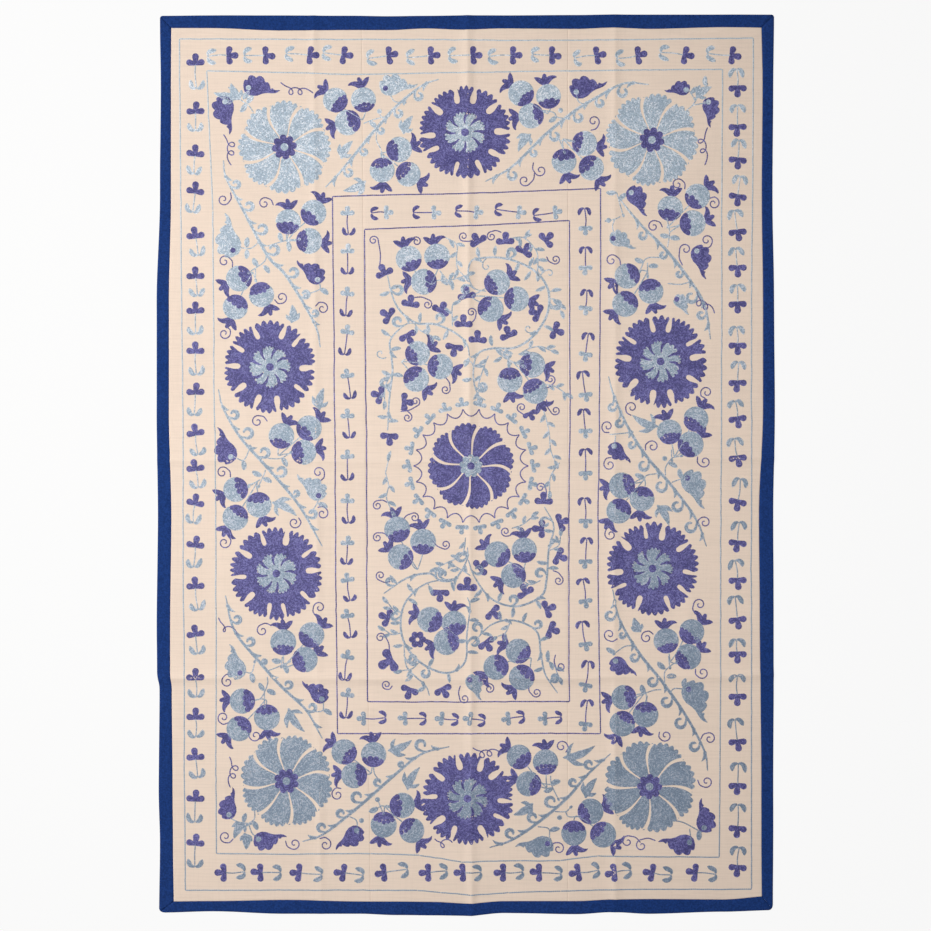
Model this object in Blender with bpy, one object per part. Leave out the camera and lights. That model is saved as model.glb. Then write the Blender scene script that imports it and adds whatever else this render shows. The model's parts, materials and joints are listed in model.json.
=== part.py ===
"""A suzani: three embroidered cotton panels sewn side by side inside a mitred cotton binding.

It lies face up on a flat surface. +Y runs to the top of the cloth, +Z is up, and the origin is under
its middle. Places on the cloth are first given as (u, v), in a plain rectangle, and are then drawn to
the cloth's uneven outline.
"""
from collections import namedtuple
from math import copysign, pi, sin

import bmesh
import bpy
import numpy as np

MM = 0.001

# Thickness of the cloths, and the parting that keeps neighbours clear of each other
PANEL_THICKNESS = 1.6 * MM
BINDING_THICKNESS = 2.4 * MM
PARTING = 0.32 * MM

# The plain rectangle: half the width and half the length, to the outer edge and to the binding's seam
EDGE_U, EDGE_V = 755 * MM, 1103 * MM
SEAM_U, SEAM_V = 725 * MM, 1071 * MM
LEFT_PANEL_SEAM_U, RIGHT_PANEL_SEAM_U = -245 * MM, 250 * MM

# The binding's folded outer edge is rounded over, and so are the outer corners
EDGE_ROUND_DROP, EDGE_ROUND_RUN = 1.0 * MM, 1.6 * MM
TOP_CORNER_RADIUS, BOTTOM_CORNER_RADIUS = 6 * MM, 12 * MM

# Where the long lines really run, in millimetres: x of each line that runs up the cloth, at a height y
LINES_UP = "left_edge left_seam left_panel_seam right_panel_seam right_seam right_edge"
Upright = namedtuple("Upright", "y " + LINES_UP)
UPRIGHTS = [
    Upright(1103, -750, -722, -256, 251, 725, 756),
    Upright(930, -748, -723, -254, 250, 728, 754),
    Upright(660, -750, -723, -252, 251, 726, 752),
    Upright(400, -758, -728, -249, 250, 729, 756),
    Upright(130, -758, -728, -246, 251, 729, 758),
    Upright(-130, -755, -722, -244, 251, 719, 754),
    Upright(-400, -758, -725, -241, 250, 721, 755),
    Upright(-505, -757, -725, -240, 251, 722, 755),
    Upright(-550, -751, -721, -239, 251, 723, 755),
    Upright(-795, -753, -719, -237, 250, 725, 754),
    Upright(-930, -750, -718, -235, 251, 725, 754),
    Upright(-1103, -752, -716, -234, 251, 726, 753),
]

# The same for the lines that run across: y of each line, at a distance x from the middle
LINES_ACROSS = "bottom_edge bottom_seam top_seam top_edge"
Crossline = namedtuple("Crossline", "x " + LINES_ACROSS)
CROSSLINES = [
    Crossline(-755, -1097, -1070, 1072, 1102),
    Crossline(-630, -1094, -1069, 1072, 1103),
    Crossline(-450, -1100, -1066, 1066, 1103),
    Crossline(-270, -1100, -1070, 1067, 1102),
    Crossline(-180, -1103, -1070, 1067, 1101),
    Crossline(-90, -1104, -1071, 1071, 1102),
    Crossline(0, -1105, -1075, 1068, 1103),
    Crossline(90, -1098, -1069, 1071, 1103),
    Crossline(270, -1101, -1069, 1070, 1104),
    Crossline(360, -1096, -1065, 1073, 1105),
    Crossline(450, -1100, -1064, 1070, 1105),
    Crossline(630, -1095, -1065, 1074, 1105),
    Crossline(755, -1091, -1056, 1073, 1105),
]

# Creases left by folding, as low ridges with a sharp crest; sway is how much the height changes on the way
Crease = namedtuple("Crease", "place height half_width sway waves")
UPRIGHT_CREASES = [
    Crease(-366 * MM, 2.4 * MM, 20 * MM, 0.45, 3.0),
    Crease(9 * MM, 4.0 * MM, 24 * MM, 0.25, 4.0),
    Crease(365 * MM, 3.0 * MM, 26 * MM, 0.40, 2.5),
]
CROSS_CREASES = [
    Crease(739 * MM, 1.8 * MM, 20 * MM, 0.50, 2.5),
    Crease(10 * MM, 3.8 * MM, 24 * MM, 0.30, 3.5),
    Crease(-524 * MM, 4.2 * MM, 24 * MM, 0.25, 2.0),
]

# The outer edge lifts a little off the surface in short waves that die out towards the middle
EDGE_LIFT, EDGE_LIFT_REACH, EDGE_LIFT_WAVE = 1.6 * MM, 90 * MM, 310 * MM
EDGE_LIFT_SHIFT, EDGE_LIFT_REST = 0.7, 0.35

# Spacing of the mesh's stations away from the creases, and the share of a crease's half width at each step
STATION_SPACING = 68 * MM
CREASE_STEPS = (1.0, 0.62, 0.28)

# The mesh's extra lines at the corners, as shares of the reach of the rounding
CORNER_REACH = BOTTOM_CORNER_RADIUS
CORNER_STEPS = (1.0, 0.45)

CREAM_COTTON = (0.80, 0.70, 0.61)
BLUE_COTTON = (0.022, 0.055, 0.22)
COTTON_ROUGHNESS = 0.9


def clear_scene():
    for old in list(bpy.data.objects):
        bpy.data.objects.remove(old, do_unlink=True)


def cotton(name, colour):
    """A matt cotton finish."""
    material = bpy.data.materials.new(name)
    material.use_nodes = True
    shader = material.node_tree.nodes["Principled BSDF"]
    shader.inputs["Base Color"].default_value = (*colour, 1.0)
    shader.inputs["Roughness"].default_value = COTTON_ROUGHNESS
    shader.inputs["Metallic"].default_value = 0.0
    material.diffuse_color = (*colour, 1.0)
    return material


def eased(at, stations, values):
    """The value at a place between stations, easing in and out of each of them."""
    step = min(max(int(np.searchsorted(stations, at)) - 1, 0), len(stations) - 2)
    share = min(max((at - stations[step]) / (stations[step + 1] - stations[step]), 0.0), 1.0)
    share = share * share * (3.0 - 2.0 * share)
    return values[step] + share * (values[step + 1] - values[step])


def line_places(table, along, columns, at):
    """Where each named line of a table runs, at a place along it."""
    rows = sorted(table, key=lambda row: getattr(row, along))
    stations = [getattr(row, along) * MM for row in rows]
    return [eased(at, stations, [getattr(row, column) * MM for row in rows]) for column in columns]


def rounded_corner(u, v):
    """Draws the square outer corners of the rectangle in to round ones."""
    radius = TOP_CORNER_RADIUS if v > 0 else BOTTOM_CORNER_RADIUS
    a, b = abs(u) - (EDGE_U - radius), abs(v) - (EDGE_V - radius)
    if a <= 0 or b <= 0:
        return u, v
    pull = max(a, b) / np.hypot(a, b)
    return np.copysign(EDGE_U - radius + a * pull, u), np.copysign(EDGE_V - radius + b * pull, v)


def on_outline(u, v):
    """The real place of a point of the plain rectangle."""
    u, v = rounded_corner(u, v)
    plain_u = [-EDGE_U, -SEAM_U, LEFT_PANEL_SEAM_U, RIGHT_PANEL_SEAM_U, SEAM_U, EDGE_U]
    plain_v = [-EDGE_V, -SEAM_V, SEAM_V, EDGE_V]
    real_u = line_places(UPRIGHTS, "y", LINES_UP.split(), v)
    real_v = line_places(CROSSLINES, "x", LINES_ACROSS.split(), u)
    return float(np.interp(u, plain_u, real_u)), float(np.interp(v, plain_v, real_v))


def crease_height(crease, across, along):
    """How high a crease lifts the cloth at a distance across it and a place along it."""
    share = 1.0 - abs(across) / crease.half_width
    if share <= 0:
        return 0.0
    sway = 1.0 - crease.sway * (0.5 + 0.5 * sin(2 * pi * crease.waves * along + 9 * crease.place))
    return crease.height * sway * share * share


def edge_lift(u, v):
    """The low waves of the outer edge."""
    total = 0.0
    for outward, edge, along in ((u, EDGE_U, v), (v, EDGE_V, u)):
        share = max(1.0 - (edge - abs(outward)) / EDGE_LIFT_REACH, 0.0)
        wave = sin(2 * pi * along / EDGE_LIFT_WAVE + copysign(EDGE_LIFT_SHIFT, outward)) - EDGE_LIFT_REST
        total += EDGE_LIFT * max(wave, 0.0) * share * share
    return total


def lift(u, v):
    """The height of the cloth's underside."""
    upright = sum(crease_height(crease, u - crease.place, v) for crease in UPRIGHT_CREASES)
    cross = sum(crease_height(crease, v - crease.place, u) for crease in CROSS_CREASES)
    return float(np.hypot(upright, cross)) + edge_lift(u, v)


def stations(start, end, creases, seam):
    """Places for the mesh's lines between two ends: even ones, with more on creases and beside the seam."""
    count = max(round((end - start) / STATION_SPACING), 1)
    places = list(np.linspace(start, end, count + 1))
    for step in CORNER_STEPS:
        places += [side * (seam - step * CORNER_REACH) for side in (-1, 1) if side * seam in (start, end)]
    for crease in creases:
        if not start < crease.place < end:
            continue
        steps = [side * step * crease.half_width for step in CREASE_STEPS for side in (-1, 1)]
        clear = crease.half_width + 0.3 * STATION_SPACING
        places = [p for p in places if abs(p - crease.place) > clear or p in (start, end)]
        places += [crease.place] + [crease.place + step for step in steps]
    return sorted(places)


def cloth_object(name, grid, thickness, material):
    """A closed cloth over a grid of (u, v) places; thickness gives its thickness in each row."""
    mesh = bmesh.new()
    rows, columns = len(grid), len(grid[0])
    under, upper = [], []
    for row, thick in zip(grid, thickness):
        places = [(*on_outline(u, v), lift(u, v)) for u, v in row]
        under.append([mesh.verts.new(place) for place in places])
        upper.append([mesh.verts.new((x, y, z + thick)) for x, y, z in places])
    for i in range(rows - 1):
        for j in range(columns - 1):
            corners = [(i, j), (i, j + 1), (i + 1, j + 1), (i + 1, j)]
            mesh.faces.new([upper[r][c] for r, c in corners])
            mesh.faces.new([under[r][c] for r, c in reversed(corners)])
    rim = [(0, j) for j in range(columns)] + [(i, columns - 1) for i in range(1, rows)]
    rim += [(rows - 1, j) for j in range(columns - 2, -1, -1)] + [(i, 0) for i in range(rows - 2, 0, -1)]
    for (r0, c0), (r1, c1) in zip(rim, rim[1:] + rim[:1]):
        mesh.faces.new([under[r0][c0], under[r1][c1], upper[r1][c1], upper[r0][c0]])
    bmesh.ops.recalc_face_normals(mesh, faces=mesh.faces)
    bmesh.ops.triangulate(mesh, faces=mesh.faces, quad_method="BEAUTY")
    data = bpy.data.meshes.new(name)
    mesh.to_mesh(data)
    mesh.free()
    data.materials.append(material)
    cloth = bpy.data.objects.new(name, data)
    bpy.context.scene.collection.objects.link(cloth)
    return cloth


def make_panel(name, start_u, end_u, v_places, material):
    """One loom width of cotton, from seam to seam."""
    u_places = stations(start_u, end_u, UPRIGHT_CREASES, SEAM_U)
    u_places[0] += PARTING / 2
    u_places[-1] -= PARTING / 2
    ends = (v_places[0] + PARTING / 2, v_places[-1] - PARTING / 2)
    inner = [ends[0], *v_places[1:-1], ends[1]]
    grid = [[(u, v) for u in u_places] for v in inner]
    return cloth_object(name, grid, [PANEL_THICKNESS] * len(grid), material)


def make_binding(name, along_places, seam, edge, side, upright, material):
    """One strip of the binding, from its seam to its edge, cut to a mitre at both ends; side is -1 or 1."""
    middle = (seam + edge) / 2
    across = [seam + PARTING / 2, middle, edge - EDGE_ROUND_RUN, edge]
    thickness = [BINDING_THICKNESS] * 3 + [BINDING_THICKNESS - EDGE_ROUND_DROP]
    corner = along_places[-1] - 1.01 * CORNER_REACH
    grid = []
    for place in across:
        outward = place - seam - PARTING / 2 ** 0.5
        row = [p + copysign(outward, p) if abs(p) > corner else p for p in along_places]
        grid.append([(side * place, p) if upright else (p, side * place) for p in row])
    return cloth_object(name, grid, thickness, material)


def main():
    clear_scene()
    cream = cotton("cream_cotton", CREAM_COTTON)
    blue = cotton("blue_cotton", BLUE_COTTON)
    seams = [-SEAM_U, LEFT_PANEL_SEAM_U, RIGHT_PANEL_SEAM_U, SEAM_U]
    v_places = stations(-SEAM_V, SEAM_V, CROSS_CREASES, SEAM_V)
    u_places = sorted({u for a, b in zip(seams, seams[1:]) for u in stations(a, b, UPRIGHT_CREASES, SEAM_U)})
    for name, start, end in zip(("panel_left", "panel_centre", "panel_right"), seams, seams[1:]):
        make_panel(name, start, end, v_places, cream)
    for name, side in (("binding_left", -1), ("binding_right", 1)):
        make_binding(name, v_places, SEAM_U, EDGE_U, side, True, blue)
    for name, side in (("binding_bottom", -1), ("binding_top", 1)):
        make_binding(name, u_places, SEAM_V, EDGE_V, side, False, blue)


main()
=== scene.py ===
import json
from collections import defaultdict, namedtuple
from math import atan2, ceil, cos, degrees, hypot, pi, radians, sin

import bpy
import numpy as np
from bpy.props import FloatProperty, FloatVectorProperty, PointerProperty
from mathutils.geometry import delaunay_2d_cdt
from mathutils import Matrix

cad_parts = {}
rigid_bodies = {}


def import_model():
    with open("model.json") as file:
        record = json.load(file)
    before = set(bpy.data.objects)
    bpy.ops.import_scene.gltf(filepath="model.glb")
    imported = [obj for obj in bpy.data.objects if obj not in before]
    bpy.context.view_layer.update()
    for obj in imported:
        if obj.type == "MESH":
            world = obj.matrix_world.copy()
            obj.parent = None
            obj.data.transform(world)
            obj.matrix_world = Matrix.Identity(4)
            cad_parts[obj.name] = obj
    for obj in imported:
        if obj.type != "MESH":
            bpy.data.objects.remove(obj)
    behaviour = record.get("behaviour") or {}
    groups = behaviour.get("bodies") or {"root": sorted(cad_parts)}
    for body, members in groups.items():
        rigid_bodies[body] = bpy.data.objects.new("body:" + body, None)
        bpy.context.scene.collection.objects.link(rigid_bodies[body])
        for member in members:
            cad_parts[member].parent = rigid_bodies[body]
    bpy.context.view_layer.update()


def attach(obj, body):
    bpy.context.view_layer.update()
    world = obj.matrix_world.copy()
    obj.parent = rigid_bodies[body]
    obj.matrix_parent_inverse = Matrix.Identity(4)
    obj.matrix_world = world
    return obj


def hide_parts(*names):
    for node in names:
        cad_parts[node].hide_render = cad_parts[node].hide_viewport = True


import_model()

bl_info = {
    "name": "Suzani cover",
    "version": (1, 0, 0),
    "blender": (4, 5, 0),
    "location": "View3D > Sidebar > Suzani",
    "description": "Makes the cloth, binding and chain-stitch embroidery of a suzani",
    "category": "Object",
}

MM = 0.001

# One pixel of the picture on the cloth, and the pixel over the cloth's middle
PIXEL = 2.4526 * MM
PIXEL_MIDDLE_X, PIXEL_MIDDLE_Y = 465.3, 464.7

# Cloth sizes, which the solids share
PANEL_THICKNESS = 1.6 * MM
BINDING_THICKNESS = 2.4 * MM
PARTING = 0.04 * MM
EDGE_U, EDGE_V = 755 * MM, 1103 * MM
SEAM_U, SEAM_V = 725 * MM, 1071 * MM
LEFT_PANEL_SEAM_U, RIGHT_PANEL_SEAM_U = -245 * MM, 250 * MM
EDGE_ROUND_DROP, EDGE_ROUND_RUN = 1.0 * MM, 1.6 * MM
TOP_CORNER_RADIUS, BOTTOM_CORNER_RADIUS = 6 * MM, 12 * MM

# Where the long lines really run, in millimetres: x of each line that runs up the cloth, at a height y
LINES_UP = "left_edge left_seam left_panel_seam right_panel_seam right_seam right_edge"
Upright = namedtuple("Upright", "y " + LINES_UP)
UPRIGHTS = [
    Upright(1103, -750, -722, -256, 251, 725, 756),
    Upright(930, -748, -723, -254, 250, 728, 754),
    Upright(660, -750, -723, -252, 251, 726, 752),
    Upright(400, -758, -728, -249, 250, 729, 756),
    Upright(130, -758, -728, -246, 251, 729, 758),
    Upright(-130, -755, -722, -244, 251, 719, 754),
    Upright(-400, -758, -725, -241, 250, 721, 755),
    Upright(-505, -757, -725, -240, 251, 722, 755),
    Upright(-550, -751, -721, -239, 251, 723, 755),
    Upright(-795, -753, -719, -237, 250, 725, 754),
    Upright(-930, -750, -718, -235, 251, 725, 754),
    Upright(-1103, -752, -716, -234, 251, 726, 753),
]

# The same for the lines that run across: y of each line, at a distance x from the middle
LINES_ACROSS = "bottom_edge bottom_seam top_seam top_edge"
Crossline = namedtuple("Crossline", "x " + LINES_ACROSS)
CROSSLINES = [
    Crossline(-755, -1097, -1070, 1072, 1102),
    Crossline(-630, -1094, -1069, 1072, 1103),
    Crossline(-450, -1100, -1066, 1066, 1103),
    Crossline(-270, -1100, -1070, 1067, 1102),
    Crossline(-180, -1103, -1070, 1067, 1101),
    Crossline(-90, -1104, -1071, 1071, 1102),
    Crossline(0, -1105, -1075, 1068, 1103),
    Crossline(90, -1098, -1069, 1071, 1103),
    Crossline(270, -1101, -1069, 1070, 1104),
    Crossline(360, -1096, -1065, 1073, 1105),
    Crossline(450, -1100, -1064, 1070, 1105),
    Crossline(630, -1095, -1065, 1074, 1105),
    Crossline(755, -1091, -1056, 1073, 1105),
]

# Creases left by folding; sway is how much the height changes on the way
Crease = namedtuple("Crease", "place height half_width sway waves")
UPRIGHT_CREASES = [
    Crease(-366 * MM, 2.4 * MM, 20 * MM, 0.45, 3.0),
    Crease(9 * MM, 4.0 * MM, 24 * MM, 0.25, 4.0),
    Crease(365 * MM, 3.0 * MM, 26 * MM, 0.40, 2.5),
]
CROSS_CREASES = [
    Crease(739 * MM, 1.8 * MM, 20 * MM, 0.50, 2.5),
    Crease(10 * MM, 3.8 * MM, 24 * MM, 0.30, 3.5),
    Crease(-524 * MM, 4.2 * MM, 24 * MM, 0.25, 2.0),
]
CREST_ROUNDING = 1.6 * MM
EDGE_LIFT, EDGE_LIFT_REACH, EDGE_LIFT_WAVE = 1.6 * MM, 90 * MM, 310 * MM
EDGE_LIFT_SHIFT, EDGE_LIFT_REST = 0.7, 0.35

# Soft wrinkles between the creases, given in picture pixels: middle, way, length, width and height
Wrinkle = namedtuple("Wrinkle", "x y way length width height")
WRINKLES = [
    Wrinkle(250, 140, 20, 150, 34, 0.9), Wrinkle(560, 60, -12, 190, 30, 0.8),
    Wrinkle(690, 170, 70, 170, 36, 1.0), Wrinkle(215, 330, 84, 210, 30, 0.9),
    Wrinkle(400, 400, 15, 160, 30, 0.8), Wrinkle(540, 330, -30, 140, 32, 0.9),
    Wrinkle(690, 390, 80, 180, 34, 1.1), Wrinkle(260, 560, -18, 170, 32, 0.9),
    Wrinkle(430, 600, 62, 150, 30, 0.8), Wrinkle(560, 640, 10, 200, 34, 0.9),
    Wrinkle(690, 620, -75, 190, 34, 1.1), Wrinkle(240, 770, 25, 160, 32, 0.9),
    Wrinkle(420, 860, -8, 220, 30, 0.8), Wrinkle(640, 800, 40, 170, 34, 1.0),
]


# Places on the cloth

def at_pixel(x, y):
    """The place on the cloth, in metres, of a pixel of the picture."""
    return np.stack([(np.asarray(x, float) - PIXEL_MIDDLE_X) * PIXEL,
                     (PIXEL_MIDDLE_Y - np.asarray(y, float)) * PIXEL], -1)


def eased(at, stations, values):
    """Values at places between stations, easing in and out of each of them."""
    step = np.clip(np.searchsorted(stations, at) - 1, 0, len(stations) - 2)
    share = np.clip((at - stations[step]) / (stations[step + 1] - stations[step]), 0, 1)
    share = share * share * (3 - 2 * share)
    return values[step] + share * (values[step + 1] - values[step])


def table_lines(table, along, columns):
    """The stations of a table and the values of its named lines, in metres."""
    rows = sorted(table, key=lambda row: getattr(row, along))
    stations = np.array([getattr(row, along) for row in rows]) * MM
    return stations, [np.array([getattr(row, column) for row in rows]) * MM for column in columns.split()]


UP_LINES = table_lines(UPRIGHTS, "y", LINES_UP)
ACROSS_LINES = table_lines(CROSSLINES, "x", LINES_ACROSS)
PLAIN_U = np.array([-EDGE_U, -SEAM_U, LEFT_PANEL_SEAM_U, RIGHT_PANEL_SEAM_U, SEAM_U, EDGE_U])
PLAIN_V = np.array([-EDGE_V, -SEAM_V, SEAM_V, EDGE_V])


def between_lines(at, plain, across, lines):
    """Interpolates between lines whose own places change along the cloth."""
    stations, values = lines
    real = np.stack([eased(across, stations, line) for line in values])
    step = np.clip(np.searchsorted(plain, at) - 1, 0, len(plain) - 2)
    share = np.clip((at - plain[step]) / (plain[step + 1] - plain[step]), 0, 1)
    every = np.arange(len(at))
    return real[step, every] * (1 - share) + real[step + 1, every] * share


def rounded_corner(u, v):
    """Draws the square outer corners of the rectangle in to round ones."""
    radius = np.where(v > 0, TOP_CORNER_RADIUS, BOTTOM_CORNER_RADIUS)
    a, b = np.abs(u) - (EDGE_U - radius), np.abs(v) - (EDGE_V - radius)
    inside = (a > 0) & (b > 0)
    pull = np.where(inside, np.maximum(a, b) / np.maximum(np.hypot(a, b), 1e-9), 1.0)
    return (np.where(inside, np.copysign(EDGE_U - radius + a * pull, u), u),
            np.where(inside, np.copysign(EDGE_V - radius + b * pull, v), v))


def on_outline(u, v):
    """The real places of points of the plain rectangle."""
    u, v = rounded_corner(np.asarray(u, float), np.asarray(v, float))
    return between_lines(u, PLAIN_U, v, UP_LINES), between_lines(v, PLAIN_V, u, ACROSS_LINES)


def on_rectangle(x, y):
    """The points of the plain rectangle that lie at real places, found by stepping towards them."""
    u, v = np.array(x, float), np.array(y, float)
    for _ in range(3):
        at_x, at_y = on_outline(u, v)
        u, v = u + x - at_x, v + y - at_y
    return u, v


def crease_height(crease, across, along):
    """How high a crease lifts the cloth, with its crest a little rounded."""
    distance = np.hypot(across, CREST_ROUNDING) - CREST_ROUNDING
    share = np.clip(1 - distance / crease.half_width, 0, 1)
    sway = 1 - crease.sway * (0.5 + 0.5 * np.sin(2 * pi * crease.waves * along + 9 * crease.place))
    return crease.height * sway * share * share


def edge_lift(u, v):
    """The low waves of the outer edge."""
    total = 0
    for outward, edge, along in ((u, EDGE_U, v), (v, EDGE_V, u)):
        share = np.clip(1 - (edge - np.abs(outward)) / EDGE_LIFT_REACH, 0, 1)
        wave = np.sin(2 * pi * along / EDGE_LIFT_WAVE + np.copysign(EDGE_LIFT_SHIFT, outward)) - EDGE_LIFT_REST
        total = total + EDGE_LIFT * np.maximum(wave, 0) * share * share
    return total


def wrinkle_height(u, v):
    """The soft wrinkles, as low humps that fade at both ends."""
    total = np.zeros_like(u)
    for w in WRINKLES:
        x, y = at_pixel(w.x, w.y)
        way = radians(w.way)
        along = (u - x) * cos(way) + (v - y) * sin(way)
        across = (v - y) * cos(way) - (u - x) * sin(way)
        across = across + 0.12 * w.length * MM * np.sin(along / (0.3 * w.length * MM))
        fade = np.clip(1 - (along / (w.length * MM)) ** 2, 0, 1)
        hump = np.clip(1 - (across / (w.width * MM)) ** 2, 0, 1)
        total += w.height * MM * (fade * hump) ** 2
    return total


def underside(u, v):
    """The height of the cloth's underside."""
    upright = sum(crease_height(crease, u - crease.place, v) for crease in UPRIGHT_CREASES)
    cross = sum(crease_height(crease, v - crease.place, u) for crease in CROSS_CREASES)
    return np.hypot(upright, cross) + edge_lift(u, v) + wrinkle_height(u, v)


def face_height(xy):
    """The height of the embroidered face at real places."""
    u, v = on_rectangle(xy[:, 0], xy[:, 1])
    return underside(u, v) + PANEL_THICKNESS


# Patches of thread, as distance fields

FAR = 1e6
SHAPE_REACH = 24.0


class Shape:
    """A patch of thread: its distance field, negative inside, and the box that holds it, in millimetres."""

    def __init__(self, distance, low, high):
        self.distance, self.low, self.high = distance, np.asarray(low, float), np.asarray(high, float)

    def near(self, places):
        """Distances at places; those well outside the box are only said to be far."""
        result = np.full(len(places), FAR)
        close = ((places > self.low - SHAPE_REACH) & (places < self.high + SHAPE_REACH)).all(1)
        result[close] = self.distance(places[close])
        return result


def disc(x, y, radius):
    """A round patch."""
    return Shape(lambda p: np.hypot(p[:, 0] - x, p[:, 1] - y) - radius, (x - radius, y - radius), (x + radius, y + radius))


def stroke(points, widths):
    """A brush line through points, with its half width eased between the given ones."""
    points = np.asarray(points, float)
    widths = np.interp(np.linspace(0, 1, len(points)), np.linspace(0, 1, len(widths)), widths)

    def distance(p):
        nearest = np.full(len(p), FAR)
        for a, b, wa, wb in zip(points, points[1:], widths, widths[1:]):
            run = b - a
            share = np.clip((p - a) @ run / max(run @ run, 1e-9), 0, 1)
            gap = np.hypot(*(p - a - share[:, None] * run).T) - (wa + share * (wb - wa))
            nearest = np.minimum(nearest, gap)
        return nearest
    return Shape(distance, points.min(0) - widths.max(), points.max(0) + widths.max())


def patch(outline):
    """A filled outline."""
    outline = np.asarray(outline, float)

    def distance(p):
        nearest, inside = np.full(len(p), FAR), np.zeros(len(p), bool)
        x, y = p.T
        for (ax, ay), (bx, by) in zip(outline, np.roll(outline, -1, 0)):
            run_x, run_y = bx - ax, by - ay
            share = np.clip(((x - ax) * run_x + (y - ay) * run_y) / max(run_x ** 2 + run_y ** 2, 1e-9), 0, 1)
            nearest = np.minimum(nearest, (x - ax - share * run_x) ** 2 + (y - ay - share * run_y) ** 2)
            if ay != by:
                inside ^= ((ay > y) != (by > y)) & (x < ax + (y - ay) * run_x / run_y)
        return np.where(inside, -1, 1) * np.sqrt(nearest)
    return Shape(distance, outline.min(0), outline.max(0))


def joined(*shapes):
    """Several patches worked as one."""
    return Shape(lambda p: np.minimum.reduce([shape.near(p) for shape in shapes]),
                 np.min([shape.low for shape in shapes], 0), np.max([shape.high for shape in shapes], 0))


def trimmed(shape, *holes):
    """A patch with others cut out of it."""
    return Shape(lambda p: np.maximum(shape.distance(p), -joined(*holes).near(p)), shape.low, shape.high)


def within(shape, other):
    """The part of a patch that lies inside another."""
    return Shape(lambda p: np.maximum(shape.distance(p), other.distance(p)),
                 np.maximum(shape.low, other.low), np.minimum(shape.high, other.high))


def turned(points, degrees_, x=0.0, y=0.0, scale=1.0, flip=False):
    """Points turned about the origin, scaled and moved."""
    points = np.asarray(points, float) * scale
    if flip:
        points = points * (1, -1)
    c, s = cos(radians(degrees_)), sin(radians(degrees_))
    return points @ np.array([[c, s], [-s, c]]) + (x, y)


def smooth_path(points, step=2.0):
    """A smooth line through a few points, with a point every so many millimetres."""
    points = np.asarray(points, float)
    padded = np.vstack([2 * points[0] - points[1], points, 2 * points[-1] - points[-2]])
    line = [points[:1]]
    for a, b, c, d in zip(padded, padded[1:], padded[2:], padded[3:]):
        count = max(int(ceil(hypot(*(c - b)) / step)), 1)
        t = np.linspace(0, 1, count + 1)[1:, None]
        line.append(0.5 * (2 * b + (c - a) * t + (2 * a - 5 * b + 4 * c - d) * t ** 2
                           + (3 * b - a - 3 * c + d) * t ** 3))
    return np.vstack(line)


def spaced(points, step):
    """The same line with a point every so many millimetres."""
    points = np.asarray(points, float)
    run = np.concatenate([[0], np.cumsum(np.hypot(*np.diff(points, axis=0).T))])
    places = np.linspace(0, run[-1], max(int(ceil(run[-1] / step)), 1) + 1)
    return np.stack([np.interp(places, run, points[:, i]) for i in (0, 1)], -1)


def arc(x, y, radius, start, sweep, end_radius=None, count=24):
    """A round line in degrees; with an end radius it winds in or out."""
    angles = np.radians(np.linspace(start, start + sweep, count))
    radii = np.linspace(radius, radius if end_radius is None else end_radius, count)
    return np.stack([x + radii * np.cos(angles), y + radii * np.sin(angles)], -1)


# Motifs. A motif holds patches, in the order in which they are worked, and single rows

VIOLET, BLUE = "violet", "pale_blue"


class Motif:
    """Patches and single rows of thread, in millimetres about the motif's own middle."""

    def __init__(self, seed=0):
        self.patches, self.rows = [], []
        self.chance = np.random.default_rng(seed)

    def fill(self, thread, field):
        self.patches.append((thread, field))

    def row(self, thread, points):
        self.rows.append((thread, np.asarray(points, float)))

    def vary(self, amount):
        return float(self.chance.uniform(-amount, amount))


def swirl_petals(motif, petals, inner, outer, teeth, tooth, gap, bend, hook, first=0.0, uneven=2.5):
    """Petals parted by bent gaps, each with a toothed end and one hooked corner, as one field."""
    gaps = [first + k * 360 / petals + motif.vary(uneven) for k in range(petals)]
    bends = [(bend[0] + motif.vary(2.5), bend[1] + motif.vary(2.0)) for _ in gaps]

    def side(k, radii, way):
        share = np.clip((radii - inner) / (outer - inner), 0, 1)
        middle = gaps[k] + bends[k][0] * np.sin(pi * share) + bends[k][1] * share ** 2
        half = gap[0] + (gap[1] - gap[0]) * share ** 1.5
        return middle + way * np.degrees(half / radii)

    fields = []
    for k in range(petals):
        following = (k + 1) % petals
        radii = np.linspace(inner * 0.6, outer * 0.93, 14)
        low, high = side(k, radii, 1), side(following, radii, -1)
        high = high + 360 * round((low[-1] + 360 / petals - high[-1]) / 360)
        count = teeth + int(motif.chance.integers(0, 2))
        share = np.linspace(0, 1, 9 * count)
        ends = low[-1] + share * (high[-1] + hook[0] - low[-1])
        reach = outer * (0.93 + 0.07 * np.sin(pi * np.clip(share * 1.15, 0, 1)) ** 0.7)
        reach = reach + hook[1] * np.clip((share - 0.86) / 0.14, 0, 1) ** 2
        reach = reach - tooth * (1 - np.abs(np.sin(pi * count * share ** 0.95)) ** 0.7)
        polar = list(zip(radii, low)) + list(zip(reach, ends)) + list(zip(radii[::-1], high[::-1]))
        fields.append(patch([(r * cos(radians(a)), r * sin(radians(a))) for r, a in polar]))
    return joined(*fields)


def lobed_hub(radius, lobes, lobe, first=0.0):
    """A round hub with a ring of round lobes."""
    ring = [disc((radius - lobe) * cos(a), (radius - lobe) * sin(a), lobe)
            for a in (radians(first + k * 360 / lobes) for k in range(lobes))]
    return joined(disc(0, 0, radius - lobe), *ring)


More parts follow.
